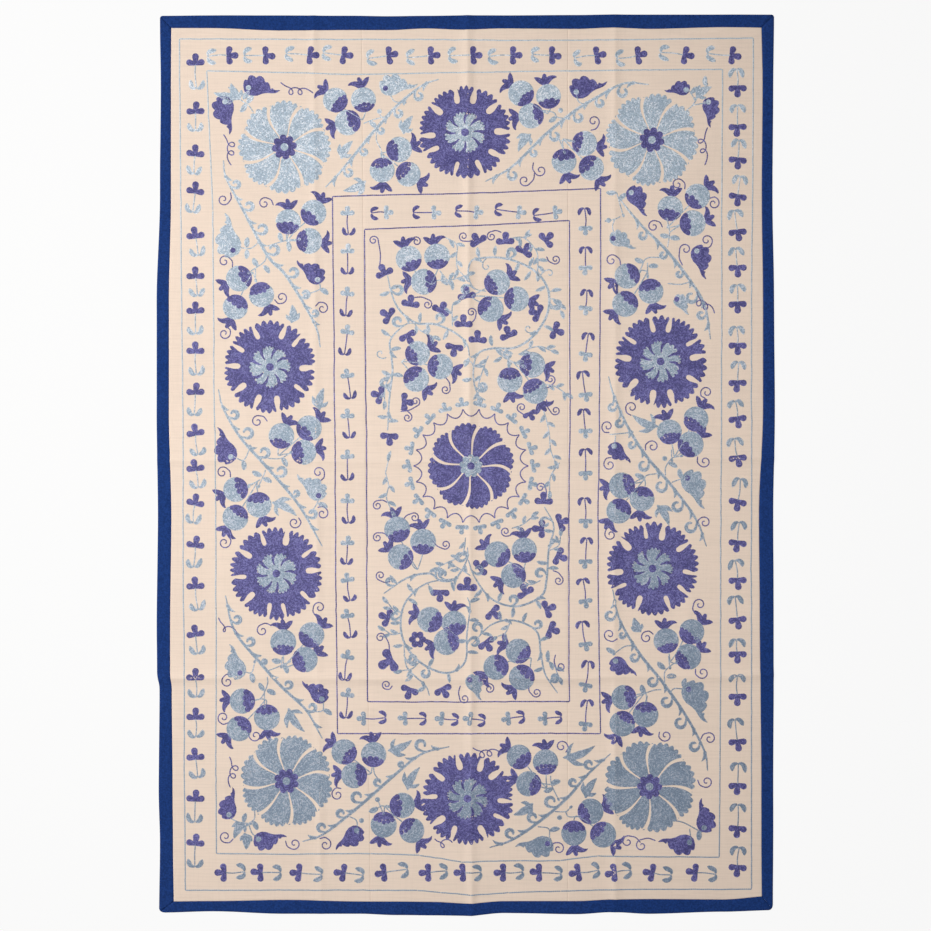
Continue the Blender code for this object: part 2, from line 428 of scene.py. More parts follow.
def pale_rosette(seed):
    """Eight pale swirling petals round a violet hub."""
    motif = Motif(seed)
    petals = swirl_petals(motif, 8, 25, 115, 5, 9.5, (1.4, 6.5), (4.0, -9.0), (5.0, 6.0), first=motif.vary(20))
    hub = lobed_hub(31, 8, 8.2, motif.vary(20))
    dot = disc(0, 0, 9.5)
    motif.fill(BLUE, trimmed(petals, hub))
    motif.fill(VIOLET, trimmed(hub, dot))
    motif.fill(BLUE, dot)
    return motif


def violet_rosette(seed):
    """A violet wheel with ten slits like teardrops and finger-like teeth, and a pale pinwheel at its middle."""
    motif = Motif(seed)
    slits, outer = 10, 115.0
    angles = [k * 360 / slits + motif.vary(7) for k in range(slits)]
    rim, tears = [], []
    for k in range(slits):
        start, end = angles[k], angles[(k + 1) % slits] + (360 if k == slits - 1 else 0)
        teeth = int(round((end - start) / 8.0))
        share = np.linspace(0, 1, 9 * teeth, endpoint=False)
        lean = share ** (1.0 + motif.vary(0.2))
        reach = outer - (12.0 + motif.vary(2)) * (1 - np.abs(np.sin(pi * teeth * lean)) ** 0.9)
        reach = reach - 5.0 * np.abs(2 * share - 1) ** 2 + motif.vary(1.5)
        rim += list(zip(reach, start + share * (end - start)))
    wheel = patch([(r * cos(radians(a)), r * sin(radians(a))) for r, a in rim])
    radii = np.array([79, 87, 98, 109, 120.0])
    for a in angles:
        turns = np.radians(a + motif.vary(4) * (radii - 79) / 40)
        line = np.stack([radii * np.cos(turns), radii * np.sin(turns)], -1)
        tears.append(stroke(line, (1 + motif.vary(0.3)) * np.array([6.6, 7.2, 5.2, 2.8, 3.4])))
    pinwheel = swirl_petals(motif, 8, 17, 52, 3, 10.0, (1.2, 7.0), (3.0, -11.0), (6.0, 3.0),
                            first=motif.vary(20), uneven=6)
    pinwheel = joined(pinwheel, disc(0, 0, 20))
    dot = disc(0, 0, 9.6)
    motif.fill(VIOLET, trimmed(wheel, pinwheel, *tears))
    motif.fill(BLUE, trimmed(pinwheel, dot))
    motif.fill(VIOLET, dot)
    return motif


def central_rosette(seed):
    """The middle rosette: eight violet petals, a pale hub, and a scalloped ring with a sprig at each cusp."""
    motif = Motif(seed)
    petals = swirl_petals(motif, 8, 24, 107, 5, 7.5, (1.8, 6.0), (5.0, -10.0), (6.0, 6.0), first=-6)
    hub = lobed_hub(28.5, 9, 7.0, 10)
    dot = disc(0, 0, 9.0)
    motif.fill(VIOLET, trimmed(petals, hub))
    motif.fill(BLUE, trimmed(hub, dot))
    motif.fill(VIOLET, dot)
    turns = np.linspace(0, RING_ARCS, 12 * RING_ARCS + 1)
    reach = RING_CUSP_RADIUS - (RING_CUSP_RADIUS - RING_DIP_RADIUS) * np.sin(pi * (turns % 1)) ** 0.6
    angles = 2 * pi * turns / RING_ARCS
    motif.row(VIOLET, np.stack([reach * np.cos(angles), reach * np.sin(angles)], -1))
    for k in range(RING_ARCS):
        way = 360 * k / RING_ARCS
        flower_of_three(motif, *turned([(RING_CUSP_RADIUS + 12, 0)], way)[0], way + motif.vary(12), BLUE, 0.92)
    return motif


def fruit(motif, cap_way, radius=31.0):
    """A pale pomegranate with a scalloped violet cap on its stem side."""
    body = disc(0, 0, radius)
    depth = motif.vary(3.5)
    lobes = [disc(*turned([(60 + depth, 0)], cap_way)[0], 46)]
    count = 4 + int(motif.chance.integers(0, 3) == 0)
    for across in np.linspace(-21, 21, count):
        inward = 9.0 + depth + 0.012 * across ** 2 + motif.vary(1.2)
        lobes.append(disc(*turned([(inward, across)], cap_way)[0], 21.6 / (count - 1) + motif.vary(0.3)))
    motif.fill(BLUE, body)
    motif.fill(VIOLET, within(joined(*lobes), body))


def crown(motif, x, y, way, flip=False, size=1.0):
    """A pomegranate's jagged crown: a tooth between two horns, one of them longer."""
    side = -1 if flip else 1

    def place(points):
        return smooth_path(turned(np.asarray(points, float) * (side, 1), way - 90, x, y, size))
    motif.fill(VIOLET, joined(
        stroke(place([(1, 0), (-8, 7), (-16, 10), (-23, 10), (-29, 7)]), np.array([6.5, 6.4, 5.4, 3.2, 0.5]) * size),
        stroke(place([(0, 1), (8, 7), (14, 13), (21, 19)]), np.array([6.5, 6.0, 4.8, 0.6]) * size),
        stroke(place([(0, 0), (0, 10), (-2, 18)]), np.array([6.5, 6.0, 4.0]) * size)))


def bud(motif, way, thread, length, flip):
    """A paisley bud: a round end with a spot, a scalloped back, a smooth belly and a pointed tail."""
    share = np.linspace(0, 1, 64)
    spine = smooth_path([(-0.08, 0), (0.2, 0.06), (0.42, 0.06), (0.62, 0), (0.82, -0.07), (1.0, -0.02)], 0.02)
    spine = np.stack([np.interp(share, np.linspace(0, 1, len(spine)), spine[:, i]) for i in (0, 1)], -1)
    along = np.gradient(spine, axis=0)
    normal = np.stack([-along[:, 1], along[:, 0]], -1) / np.hypot(*along.T)[:, None]
    width = np.interp(share, [0, 0.06, 0.18, 0.36, 0.5, 0.64, 0.8, 1.0], [0.1, 0.24, 0.34, 0.34, 0.27, 0.15, 0.06, 0.01])
    teeth = 0.11 * (1 - np.abs(np.sin(pi * (5.2 * share + 0.3))) ** 0.7) * (share < 0.72)
    outline = np.vstack([spine + normal * (width - teeth)[:, None], (spine - normal * (0.8 * width)[:, None])[::-1]])
    motif.fill(thread, patch(turned(outline, way, scale=length, flip=flip)))
    spot = turned([(0.06, 0.02)], way, scale=length, flip=flip)[0]
    motif.fill(BLUE if thread == VIOLET else VIOLET, disc(*spot, 6.6))


def flower_of_three(motif, x, y, way, thread, size=1.0, plump=1.0):
    """A small flower of one long lobe between two side lobes; way is where the long lobe points."""
    def lobe(start, end, round_end):
        line = turned([start, end], way - 90 + motif.vary(6), x, y, size)
        return stroke(line, np.array([3.6, round_end * plump]) * size)
    motif.fill(thread, joined(lobe((0, -2), (motif.vary(1), 12), 6.3), lobe((-2, -3), (-12.5, -1), 6.0),
                              lobe((2, -3), (12.5, -1), 6.0)))


def leaf(motif, x, y, way, thread, length=23.0, width=5.4):
    """A pointed oval leaf that starts at a place."""
    line = smooth_path(turned([(0, 0), (0.5, 0.06), (1.0, 0.0)], way, x, y, length))
    motif.fill(thread, stroke(line, [0.8, 0.8 * width, width, 0.75 * width, 0.5]))


def sprig(motif, way, reach, flower, stem, size=1.0):
    """A border sprig: flower, stem, and a pair of leaves that spread from the stem's foot."""
    flower_of_three(motif, 0, 0, way, flower, size * (1.17 if flower == VIOLET else 1.08), 1.1)
    bow = motif.vary(2.5)
    foot = turned([(-reach - 5, 0)], way)[0]
    motif.row(stem, smooth_path([*turned([(-4, 0), (-0.5 * reach, bow)], way), foot]))
    for side in (-1, 1):
        line = turned([(0, 0), (0.5 + motif.vary(1), 8 * side), (7, (14 + motif.vary(2)) * side),
                       (18 + motif.vary(3), (16 + motif.vary(2)) * side)], way, *foot, size)
        motif.fill(stem, stroke(smooth_path(line), np.array([1.6, 3.6, 5.4, 5.6, 1.8]) * size))


def spray(motif, start, end, side, thread):
    """A pale spearhead leaf with a long spur on one side and a short one on the other."""
    run = np.asarray(end) - start
    way, length = degrees(atan2(run[1], run[0])), hypot(*run)

    def place(points):
        return smooth_path(turned(points, way, *start, length, side < 0))
    motif.fill(thread, joined(
        stroke(place([(0, 0), (0.35, 0.07), (0.7, 0.05), (1.0, -0.03)]), [2.0, 8.4, 9.4, 5.4, 0.6]),
        stroke(place([(0.12, 0.05), (0.3, 0.28), (0.55, 0.42)]), [4.6, 6.4, 0.8]),
        stroke(place([(0.15, 0.0), (0.25, -0.2), (0.42, -0.32)]), [4.0, 4.8, 0.8])))


def frond(motif, thread, points, spacing=21.0, length=23.0):
    """A thin stem with small leaves by turns on both sides and one at its tip."""
    line = spaced(smooth_path(points), 1.5)
    motif.row(thread, line)
    ahead = np.gradient(line, axis=0)
    step = int(spacing / 1.5)
    for n, k in enumerate(range(step // 2, len(line) - 3, step)):
        way = degrees(atan2(ahead[k, 1], ahead[k, 0]))
        leaf(motif, *line[k], way + (42 if n % 2 else -42) + motif.vary(8), thread, length + motif.vary(1.5), 4.6)
    leaf(motif, *line[-1], degrees(atan2(ahead[-1, 1], ahead[-1, 0])), thread, length, 5.0)


def leaf_off(motif, middle, lines, thread, length=27.0, width=4.8):
    """A leaf with a given middle that grows out of the nearest of some lines, on a short stalk if need be."""
    line = min(lines, key=lambda line: np.hypot(*(line - middle).T).min())
    root = line[int(np.argmin(np.hypot(*(line - middle).T)))]
    gap = max(hypot(*(middle - root)), 1.0)
    away = (middle - root) / gap
    start = middle - away * min(0.5 * length, gap)
    if gap > 0.5 * length + 3:
        motif.row(thread, np.stack([root, start]))
    leaf(motif, *start, degrees(atan2(away[1], away[0])), thread, length + motif.vary(2), width + motif.vary(0.5))


def tendril(motif, thread, start, eye, turn, loops=1.4, radius=12.0):
    """A single row that leaves a start, swings round an eye and winds into it."""
    start, eye = np.asarray(start, float), np.asarray(eye, float)
    away = degrees(atan2(*(start - eye)[::-1]))
    spiral = arc(*eye, radius, away + turn * 70, turn * 360 * loops, 2.6, int(30 * loops))
    lead = (start + spiral[0]) / 2 + turned([(radius * 0.3, 0)], away + turn * 80)[0]
    motif.row(thread, np.vstack([smooth_path([start, lead, spiral[0]])[:-1], spiral]))


def curly_tendril(motif, thread, start, end, loops, side, radius=8.5):
    """A single row that turns a few small loops on its way."""
    run = np.asarray(end) - start
    t = np.linspace(0, 1, 30 + 40 * loops)
    turning = np.clip((t - 0.25) / 0.5, 0, 1) * 2 * pi * loops
    x = t * hypot(*run) + 1.2 * radius * np.sin(turning)
    y = side * (radius * (1 - np.cos(turning)) + 5 * np.sin(2 * pi * t))
    motif.row(thread, turned(np.stack([x, y], -1), degrees(atan2(run[1], run[0])), *start))


def brush(motif, thread, points, widths):
    """A brush line with a single row along the stretches that are too thin for two."""
    line = smooth_path(points)
    widths = np.interp(np.linspace(0, 1, len(line)), np.linspace(0, 1, len(widths)), widths)
    thin = np.nonzero(widths < THIN_STROKE)[0]
    for run in np.split(thin, np.nonzero(np.diff(thin) > 1)[0] + 1):
        if len(run) > 2:
            motif.row(thread, line[run])
    return stroke(line[::2] if len(line) > 12 else line, widths[::2] if len(line) > 12 else widths)


def curl(motif, thread, x, y, way, side, size=16.0):
    """A scroll on a stem: out and forward, round, and back in towards the stem."""
    loop = arc(0.05, 1.0, 0.64, -55, 285, 0.44, 15)
    points = np.vstack([[(-0.6, -0.05), (0.0, 0.14)], loop])
    return brush(motif, thread, turned(points, way, x, y, size, side < 0), [1.4, 2.0, 3.3, 4.6, 4.6, 3.7, 2.4])


def thorn(motif, thread, x, y, way, side, size=20.0):
    """A curved thorn on a stem."""
    points = turned([(-0.1, 0), (0.38, 0.24), (0.72, 0.72)], way, x, y, size, side < 0)
    return brush(motif, thread, points, [4.2, 3.4, 0.5])


def vine(motif, points, scrolls, thorns, thread, widest):
    """A tapering stem with open scrolls and thorns; each of them has its share of the way, side and size."""
    line = smooth_path(points)
    ahead = np.gradient(line, axis=0)
    shapes = [brush(motif, thread, points, [1.4, 0.8 * widest, widest, widest, 0.85 * widest, 1.4])]
    for work, places in ((curl, scrolls), (thorn, thorns)):
        for share, side, size in places:
            k = int(share * (len(line) - 1))
            way = degrees(atan2(ahead[k, 1], ahead[k, 0]))
            shapes.append(work(motif, thread, *line[k], way, side, size))
    motif.fill(thread, joined(*shapes))


def scrolls_at(points, middles):
    """Scrolls of a vine from the places of their middles."""
    line = smooth_path(points)
    scrolls = []
    for middle in middles:
        k = min(max(int(np.argmin(np.hypot(*(line - middle).T))), 1), len(line) - 2)
        ahead, gap = line[k + 1] - line[k - 1], middle - line[k]
        side = 1 if ahead[0] * gap[1] > ahead[1] * gap[0] else -1
        scrolls.append((k / (len(line) - 1), side, min(1.08 * hypot(*gap), 20.5)))
    return scrolls


def thorns_between(motif, scrolls):
    """A thorn between each two scrolls."""
    shares = [scroll[0] for scroll in scrolls]
    side = scrolls[0][1]
    shares = [2 * shares[0] - shares[1]] + shares + [2 * shares[-1] - shares[-2]]
    thorns = [((a + b) / 2, side, 20 + motif.vary(4)) for a, b in zip(shares, shares[1:])]
    return [one for one in thorns if 0.02 < one[0] < 0.97]


# Layout tables, in picture pixels

Rosette = namedtuple("Rosette", "name kind x y")
ROSETTES = [
    Rosette("rosette_top_left", pale_rosette, 284.0, 146.6),
    Rosette("rosette_top_right", pale_rosette, 651.4, 139.4),
    Rosette("rosette_bottom_left", pale_rosette, 286.0, 780.5),
    Rosette("rosette_bottom_right", pale_rosette, 649.0, 786.0),
    Rosette("rosette_top", violet_rosette, 464.5, 132.0),
    Rosette("rosette_left_upper", violet_rosette, 269.5, 366.5),
    Rosette("rosette_left_lower", violet_rosette, 276.0, 573.0),
    Rosette("rosette_right_upper", violet_rosette, 660.0, 361.0),
    Rosette("rosette_right_lower", violet_rosette, 652.0, 568.0),
    Rosette("rosette_bottom", violet_rosette, 467.0, 798.0),
    Rosette("rosette_centre", central_rosette, 470.5, 465.4),
]

# Pomegranates hang in threes. Each has its middle and the way that its cap faces
Fruit = namedtuple("Fruit", "x y cap")
FRUITS = {
    "top": [
        Fruit(335, 99.8, -45), Fruit(363, 99.4, -80), Fruit(347.3, 122, 20),
        Fruit(398.5, 149.2, -170), Fruit(381.7, 169.7, 95), Fruit(407.6, 173.7, 142),
        Fruit(520.6, 93, -45), Fruit(548, 96, -80), Fruit(530.6, 115.4, 15),
        Fruit(584, 143, 167), Fruit(563.5, 160.7, 92), Fruit(590.7, 167.4, 135),
    ],
    "left_upper": [
        Fruit(287.8, 221.4, -98), Fruit(313, 212.4, -131), Fruit(308.6, 240.5, 180),
        Fruit(238.6, 278, 24), Fruit(261, 294.2, 110), Fruit(235, 306.6, 64),
        Fruit(281, 435.4, -103), Fruit(308.5, 427.7, -135), Fruit(303.3, 451.7, -174),
    ],
    "left_lower": [
        Fruit(235.3, 489, 21), Fruit(258.4, 504.3, 95), Fruit(235, 517, 57),
        Fruit(282.8, 641.7, -89), Fruit(311, 634.5, -131), Fruit(304.4, 659, -156),
        Fruit(242, 700.5, 5), Fruit(266.5, 716.7, 94), Fruit(238.7, 728, 47),
    ],
    "right_upper": [
        Fruit(669.6, 208, -101), Fruit(696.8, 196, -133), Fruit(692, 222.8, -170),
        Fruit(626.8, 275.5, 26), Fruit(650.3, 290.8, 105), Fruit(624.7, 303.4, 47),
        Fruit(668.8, 431.4, -78), Fruit(695.3, 418.7, -122), Fruit(690, 444, -138),
    ],
    "right_lower": [
        Fruit(621.5, 485, 14), Fruit(641.5, 498.2, 77), Fruit(618.3, 510.5, 55),
        Fruit(665.6, 640.3, -76), Fruit(691, 631.3, -135), Fruit(687.6, 656.2, -146),
        Fruit(623.4, 696.8, 12), Fruit(645, 714, 85), Fruit(621.8, 723, 58),
    ],
    "bottom": [
        Fruit(343.8, 751.4, -38), Fruit(373.2, 754, -97), Fruit(353.7, 774.7, 6),
        Fruit(401.7, 804.8, -178), Fruit(383.2, 824, 88), Fruit(411.2, 829.8, 138),
        Fruit(518.5, 756.4, -48), Fruit(545, 761.5, -87), Fruit(528.2, 783.2, -14),
        Fruit(590, 810.8, -155), Fruit(573.3, 832.5, 90), Fruit(602.5, 834, 140),
    ],
    "centre_upper": [
        Fruit(408.3, 258.3, -65), Fruit(436.5, 256, -85), Fruit(423.4, 281.3, 3),
        Fruit(496.5, 282, -152), Fruit(516, 298.5, 175), Fruit(490, 308.5, 147),
        Fruit(417, 353, -154), Fruit(439.7, 366, 173), Fruit(415.6, 378.5, 130),
        Fruit(531.7, 364.4, 177), Fruit(509.3, 379.5, 91), Fruit(534.6, 390.6, 121),
    ],
    "centre_lower": [
        Fruit(396.8, 529, -71), Fruit(422.6, 541.2, -92), Fruit(400.2, 556.6, -30),
        Fruit(497, 553.8, -34), Fruit(523.7, 549.7, -84), Fruit(513, 575, 32),
        Fruit(429.5, 619.2, -28), Fruit(453.6, 622.7, -81), Fruit(446, 641.5, 15),
        Fruit(517.8, 650.7, -37), Fruit(495.6, 666.5, 25), Fruit(521.3, 676.8, 48),
    ],
}

BorderSprigs = namedtuple("BorderSprigs", "name flower stem way line flowers leaves")
BORDER_SPRIGS = [
    BorderSprigs("sprigs_outer_left", VIOLET, BLUE, 90, 195,
                 [62, 110, 153, 190, 235, 275, 310, 350, 391, 432, 467.5, 502, 544, 585, 633, 676.5, 716, 756, 798, 842],
                 [86, 128, 171, 209.5, 253, 293, 331, 371.5, 412, 452, 485, 520, 564, 607, 651, 694, 734, 774.5, 819, 864]),
    BorderSprigs("sprigs_outer_top", VIOLET, BLUE, 0, 55,
                 [229, 266, 310, 344, 389, 431, 473, 513, 552, 597, 638, 685, 732],
                 [209.5, 246, 288, 325, 369, 409, 451, 491, 534, 576, 618, 662, 709]),
    BorderSprigs("sprigs_outer_right", VIOLET, BLUE, -90, 737,
                 [88, 127.5, 160, 197, 232, 268, 304, 345.6, 383, 419, 458, 502, 543, 580.5, 620, 654, 696.5, 742, 785.5,
                  828.5, 867.6],
                 [71, 107, 142, 178, 212, 250, 287, 329, 364, 402.5, 440, 480.5, 524, 562, 598, 641, 677, 721, 765, 806,
                  849]),
    BorderSprigs("sprigs_outer_bottom", VIOLET, BLUE, 180, 872,
                 [223, 259, 298, 342, 383, 427, 462, 502, 538, 577, 613, 651, 694],
                 [242, 278, 319, 360.5, 405, 444, 478, 520, 558.5, 596, 628, 668.5, 713]),
    BorderSprigs("sprigs_inner_left", BLUE, VIOLET, 90, 347,
                 [212.5, 250, 293, 331, 375, 415, 456, 500, 542, 579, 615, 656, 694],
                 [232, 271, 313, 352, 396, 435, 477, 520, 561, 598, 635, 677, 715]),
    BorderSprigs("sprigs_inner_top", BLUE, VIOLET, 0, 212, [386, 434, 476, 519, 555], [373, 415, 457.6, 497, 535]),
    BorderSprigs("sprigs_inner_right", BLUE, VIOLET, -90, 585,
                 [228, 268, 308, 354.5, 394.5, 431, 473, 521, 561.5, 601, 644, 685, 724],
                 [210, 249, 292, 335, 373, 411, 451, 500, 540, 580.5, 623, 663, 702]),
    BorderSprigs("sprigs_inner_bottom", BLUE, VIOLET, 180, 718,
                 [363, 404, 441, 469, 507.5, 544], [383, 423, 455, 482, 521.5, 558.5]),
]

# The single lines of the borders: the corners of each, clockwise from the top left
BorderLine = namedtuple("BorderLine", "name thread corners")
BORDER_LINES = [
    BorderLine("line_outer", BLUE, [
        (179, 38.6), (752.8, 37.7), (751, 888.4), (560, 890.5), (508, 892.2), (470, 894.5), (440, 892), (417, 889.7),
        (185, 889.8)]),
    BorderLine("line_second", BLUE, [
        (206.5, 70.5), (350, 74), (722, 69), (718.7, 856.7), (597, 855.3), (560, 860), (520, 860), (461, 861.6),
        (419, 854.6), (370, 853), (216, 853), (212.4, 210)]),
    BorderLine("line_third", VIOLET, [(332, 196), (600, 188), (600, 733), (337, 733)]),
    BorderLine("line_inner", VIOLET, [(364, 229), (569, 220), (569, 701), (367, 701)]),
]

# Buds: the spot, the way that the tail points and the length. The scallops are on the left of it unless flipped
Bud = namedtuple("Bud", "x y way length thread flip")
BUDS = [
    Bud(246, 88, -2, 34, VIOLET, False), Bud(225, 99, -85, 36, VIOLET, True), Bud(318, 281, 134, 31, VIOLET, True),
    Bud(232, 458, 117, 35, VIOLET, False), Bud(322, 700, 134, 29, VIOLET, True), Bud(229, 816, 85, 30, VIOLET, False),
    Bud(256, 838, 2, 31, VIOLET, True), Bud(357, 828, -134, 31, VIOLET, False), Bud(574, 93, 21, 35, VIOLET, False),
    Bud(687, 90, 178, 24, VIOLET, True), Bud(707, 100, -82, 28, VIOLET, False), Bud(629, 191, -53, 31, VIOLET, False),
    Bud(695, 249, -69, 32, VIOLET, False), Bud(613, 444, -50, 26, VIOLET, True), Bud(614, 659, -38, 28, VIOLET, True),
    Bud(703, 829, 92, 32, VIOLET, True), Bud(691, 841, 182, 34, VIOLET, False), Bud(468, 678, -57, 26, BLUE, False),
    Bud(383, 89, 10, 35, BLUE, False), Bud(234, 252, 105, 41, BLUE, False), Bud(319, 497, 132, 33, BLUE, True),
    Bud(241, 674, 113, 33, BLUE, False), Bud(611, 238, -20, 27, BLUE, False), Bud(685, 476, -58, 38, BLUE, False),
    Bud(686, 687, -58, 41, BLUE, False), Bud(549, 842, 188, 35, BLUE, False), Bud(675, 298, -48, 22, BLUE, False),
]

# Vines of the wide border: points of the stem, and the middles of the scrolls
Vine = namedtuple("Vine", "name points scrolls")
VINES = [
    Vine("vine_top_left", [(438, 79), (422, 85), (397, 105), (370, 135), (343, 168), (325, 187)],
         [(418, 95), (398, 112), (380, 130), (363, 151), (348, 171)]),
    Vine("vine_top_right", [(648, 84), (624, 83), (598, 96), (575, 110), (544, 135), (512, 166), (485, 181)],
         [(622, 91), (599, 102), (578, 116), (554, 135), (533, 152), (512, 174)]),
    Vine("vine_left_upper", [(223, 160), (226, 178), (244, 212), (267, 255), (287, 277), (314, 323), (320, 347)],
         [(235, 184), (248, 206), (261, 229), (277, 246), (292, 272), (305, 295), (314, 313)]),
    Vine("vine_left_middle", [(218, 389), (223, 408), (240, 437), (265, 465), (298, 504), (322, 546)],
         [(233, 414), (247, 432), (263, 452), (280, 471), (295, 493), (311, 513)]),
    Vine("vine_left_lower", [(225, 595), (234, 630), (257, 659), (281, 686), (306, 710), (322, 738)],
         [(236, 619), (249, 641), (263, 661), (287, 684), (311, 707)]),
    Vine("vine_right_upper", [(617, 196), (640, 224), (665, 249), (688, 278), (704, 305), (710, 339)],
         [(643, 235), (663, 254), (679, 273), (691, 296), (701, 314)]),
    Vine("vine_right_middle", [(608, 376), (613, 394), (627, 426), (646, 456), (670, 484), (695, 518), (706, 546)],
         [(612, 406), (619, 422), (632, 444), (643, 464), (660, 486), (677, 505), (690, 526)]),
    Vine("vine_right_lower", [(612, 589), (619, 619), (639, 653), (663, 683), (687, 718), (704, 751), (707, 770)],
         [(610, 614), (622, 634), (634, 656), (652, 680), (666, 700), (679, 722), (694, 745)]),
    Vine("vine_bottom_left", [(449, 746), (422, 753), (398, 771), (370, 796), (345, 817), (322, 834), (302, 841)],
         [(421, 743), (401, 764), (378, 782), (357, 796), (341, 813), (322, 827)]),
    Vine("vine_bottom_right", [(610, 753), (586, 775), (567, 797), (540, 820), (512, 839), (489, 847)],
         [(589, 764), (573, 782), (551, 801), (533, 817), (510, 833)]),
]

# Thin twigs of the wide border, and the middles of the pale leaves and the berries beside them
TWIGS = [
    [(266, 246), (286, 240), (297, 239)], [(286, 240), (288, 234)], [(239, 247), (250, 248), (257, 243)],
    [(266, 252), (264, 261), (250, 271)], [(255, 268), (255, 278)], [(319, 282), (319, 289), (306, 294)],
    [(267, 458), (280, 458), (289, 453)], [(265, 469), (264, 473), (259, 484)], [(260, 479), (250, 485)],
    [(233, 456), (242, 460), (246, 456), (249, 448)], [(318, 499), (316, 504), (312, 510)],
    [(268, 670), (276, 667), (287, 662)], [(282, 656), (281, 664)], [(267, 676), (267, 684), (261, 697), (254, 700)],
    [(264, 690), (264, 704)], [(243, 671), (251, 672), (254, 663)], [(323, 701), (322, 710), (312, 711)],
    [(379, 114), (383, 118)], [(363, 123), (374, 119), (386, 116)], [(390, 95), (394, 101), (402, 102)],
    [(376, 130), (376, 140), (380, 148), (382, 155)], [(542, 110), (553, 112), (557, 117), (566, 118)],
    [(576, 95), (578, 101), (583, 104)], [(556, 135), (560, 142), (563, 150)], [(560, 140), (571, 141)],
    [(620, 216), (614, 219), (608, 220)], [(614, 219), (612, 227), (615, 236)], [(667, 247), (669, 232), (667, 221)],
    [(669, 232), (676, 227)], [(662, 257), (646, 258), (640, 269)], [(647, 262), (647, 274)],
    [(667, 283), (679, 284), (688, 282)], [(609, 434), (621, 433), (629, 432)], [(615, 435), (614, 443)],
    [(665, 475), (665, 467), (671, 458), (679, 456)], [(671, 449), (671, 458)],
    [(657, 473), (646, 475), (642, 481), (633, 483)], [(671, 482), (679, 479), (684, 478)],
    [(664, 683), (664, 672), (669, 666), (675, 662)], [(668, 655), (669, 665)], [(632, 645), (624, 646), (615, 652)],
    [(661, 689), (652, 690), (637, 696)], [(647, 695), (645, 701)], [(669, 693), (674, 688), (686, 689)],
    [(373, 766), (374, 773), (378, 779)], [(380, 805), (386, 806)], [(378, 801), (382, 811)],
    [(349, 816), (356, 820), (357, 830)], [(550, 775), (551, 784), (557, 797)], [(541, 783), (551, 784)],
    [(554, 811), (565, 811), (569, 808)], [(565, 811), (568, 816), (577, 816)], [(537, 826), (548, 828), (549, 837)],
    [(253, 112), (248, 105), (240, 99), (236, 92)], [(686, 110), (692, 105), (697, 97), (705, 86)],
    [(688, 89), (693, 97)], [(692, 105), (702, 103)], [(229, 817), (237, 821), (248, 823)],
    [(254, 807), (254, 818), (248, 823)], [(248, 823), (252, 833), (258, 837)], [(673, 820), (683, 822), (698, 830)],
    [(689, 828), (690, 836)], [(616, 192), (622, 213)],
]
TWIG_LEAVES = [
    (281, 238), (288, 246), (247, 242), (246, 254), (256, 263), (266, 269), (322, 290), (283, 460), (257, 473),
    (267, 480), (243, 463), (322, 505), (276, 660), (285, 668), (262, 687), (271, 692), (251, 675), (326, 711),
    (369, 121), (553, 118), (664, 235), (674, 238), (642, 261), (653, 266), (671, 464), (639, 475), (680, 473),
    (661, 665), (671, 676), (611, 650), (643, 690), (684, 682), (373, 809), (555, 782), (548, 789), (551, 830),
    (246, 95), (243, 107), (250, 99), (693, 91), (705, 83), (244, 819), (254, 824),
    (698, 831), (615, 192), (619, 200),
]
BERRIES = [(379, 111), (560, 110), (608, 220), (664, 458), (377, 799), (361, 820), (559, 817)]

# Pale spearhead leaves, from the foot to the long tip; the longer spur is on the left of the way if side is 1
Spray = namedtuple("Spray", "x0 y0 x1 y1 side")
SPRAYS = [
    Spray(291, 322, 292, 304, -1), Spray(319, 409, 323, 387, 1), Spray(272, 502, 297, 515, 1),
    Spray(288, 708, 304, 732, -1), Spray(403, 133, 412, 115, 1), Spray(341, 158, 352, 140, 1),
    Spray(365, 181, 343, 191, 1), Spray(530, 134, 517, 151, -1), Spray(640, 631, 633, 617, 1),
    Spray(657, 505, 669, 525, 1), Spray(407, 789, 419, 766, 1), Spray(388, 750, 412, 740, -1),
    Spray(532, 803, 513, 815, 1), Spray(585, 797, 596, 777, 1), Spray(563, 757, 595, 746, -1),
    Spray(657, 426, 631, 415, 1), Spray(237, 95, 213, 93, 1), Spray(240, 99, 230, 83, 1), Spray(696, 97, 711, 86, 1),
    Spray(244, 822, 233, 838, -1), Spray(244, 833, 246, 849, 1),
]

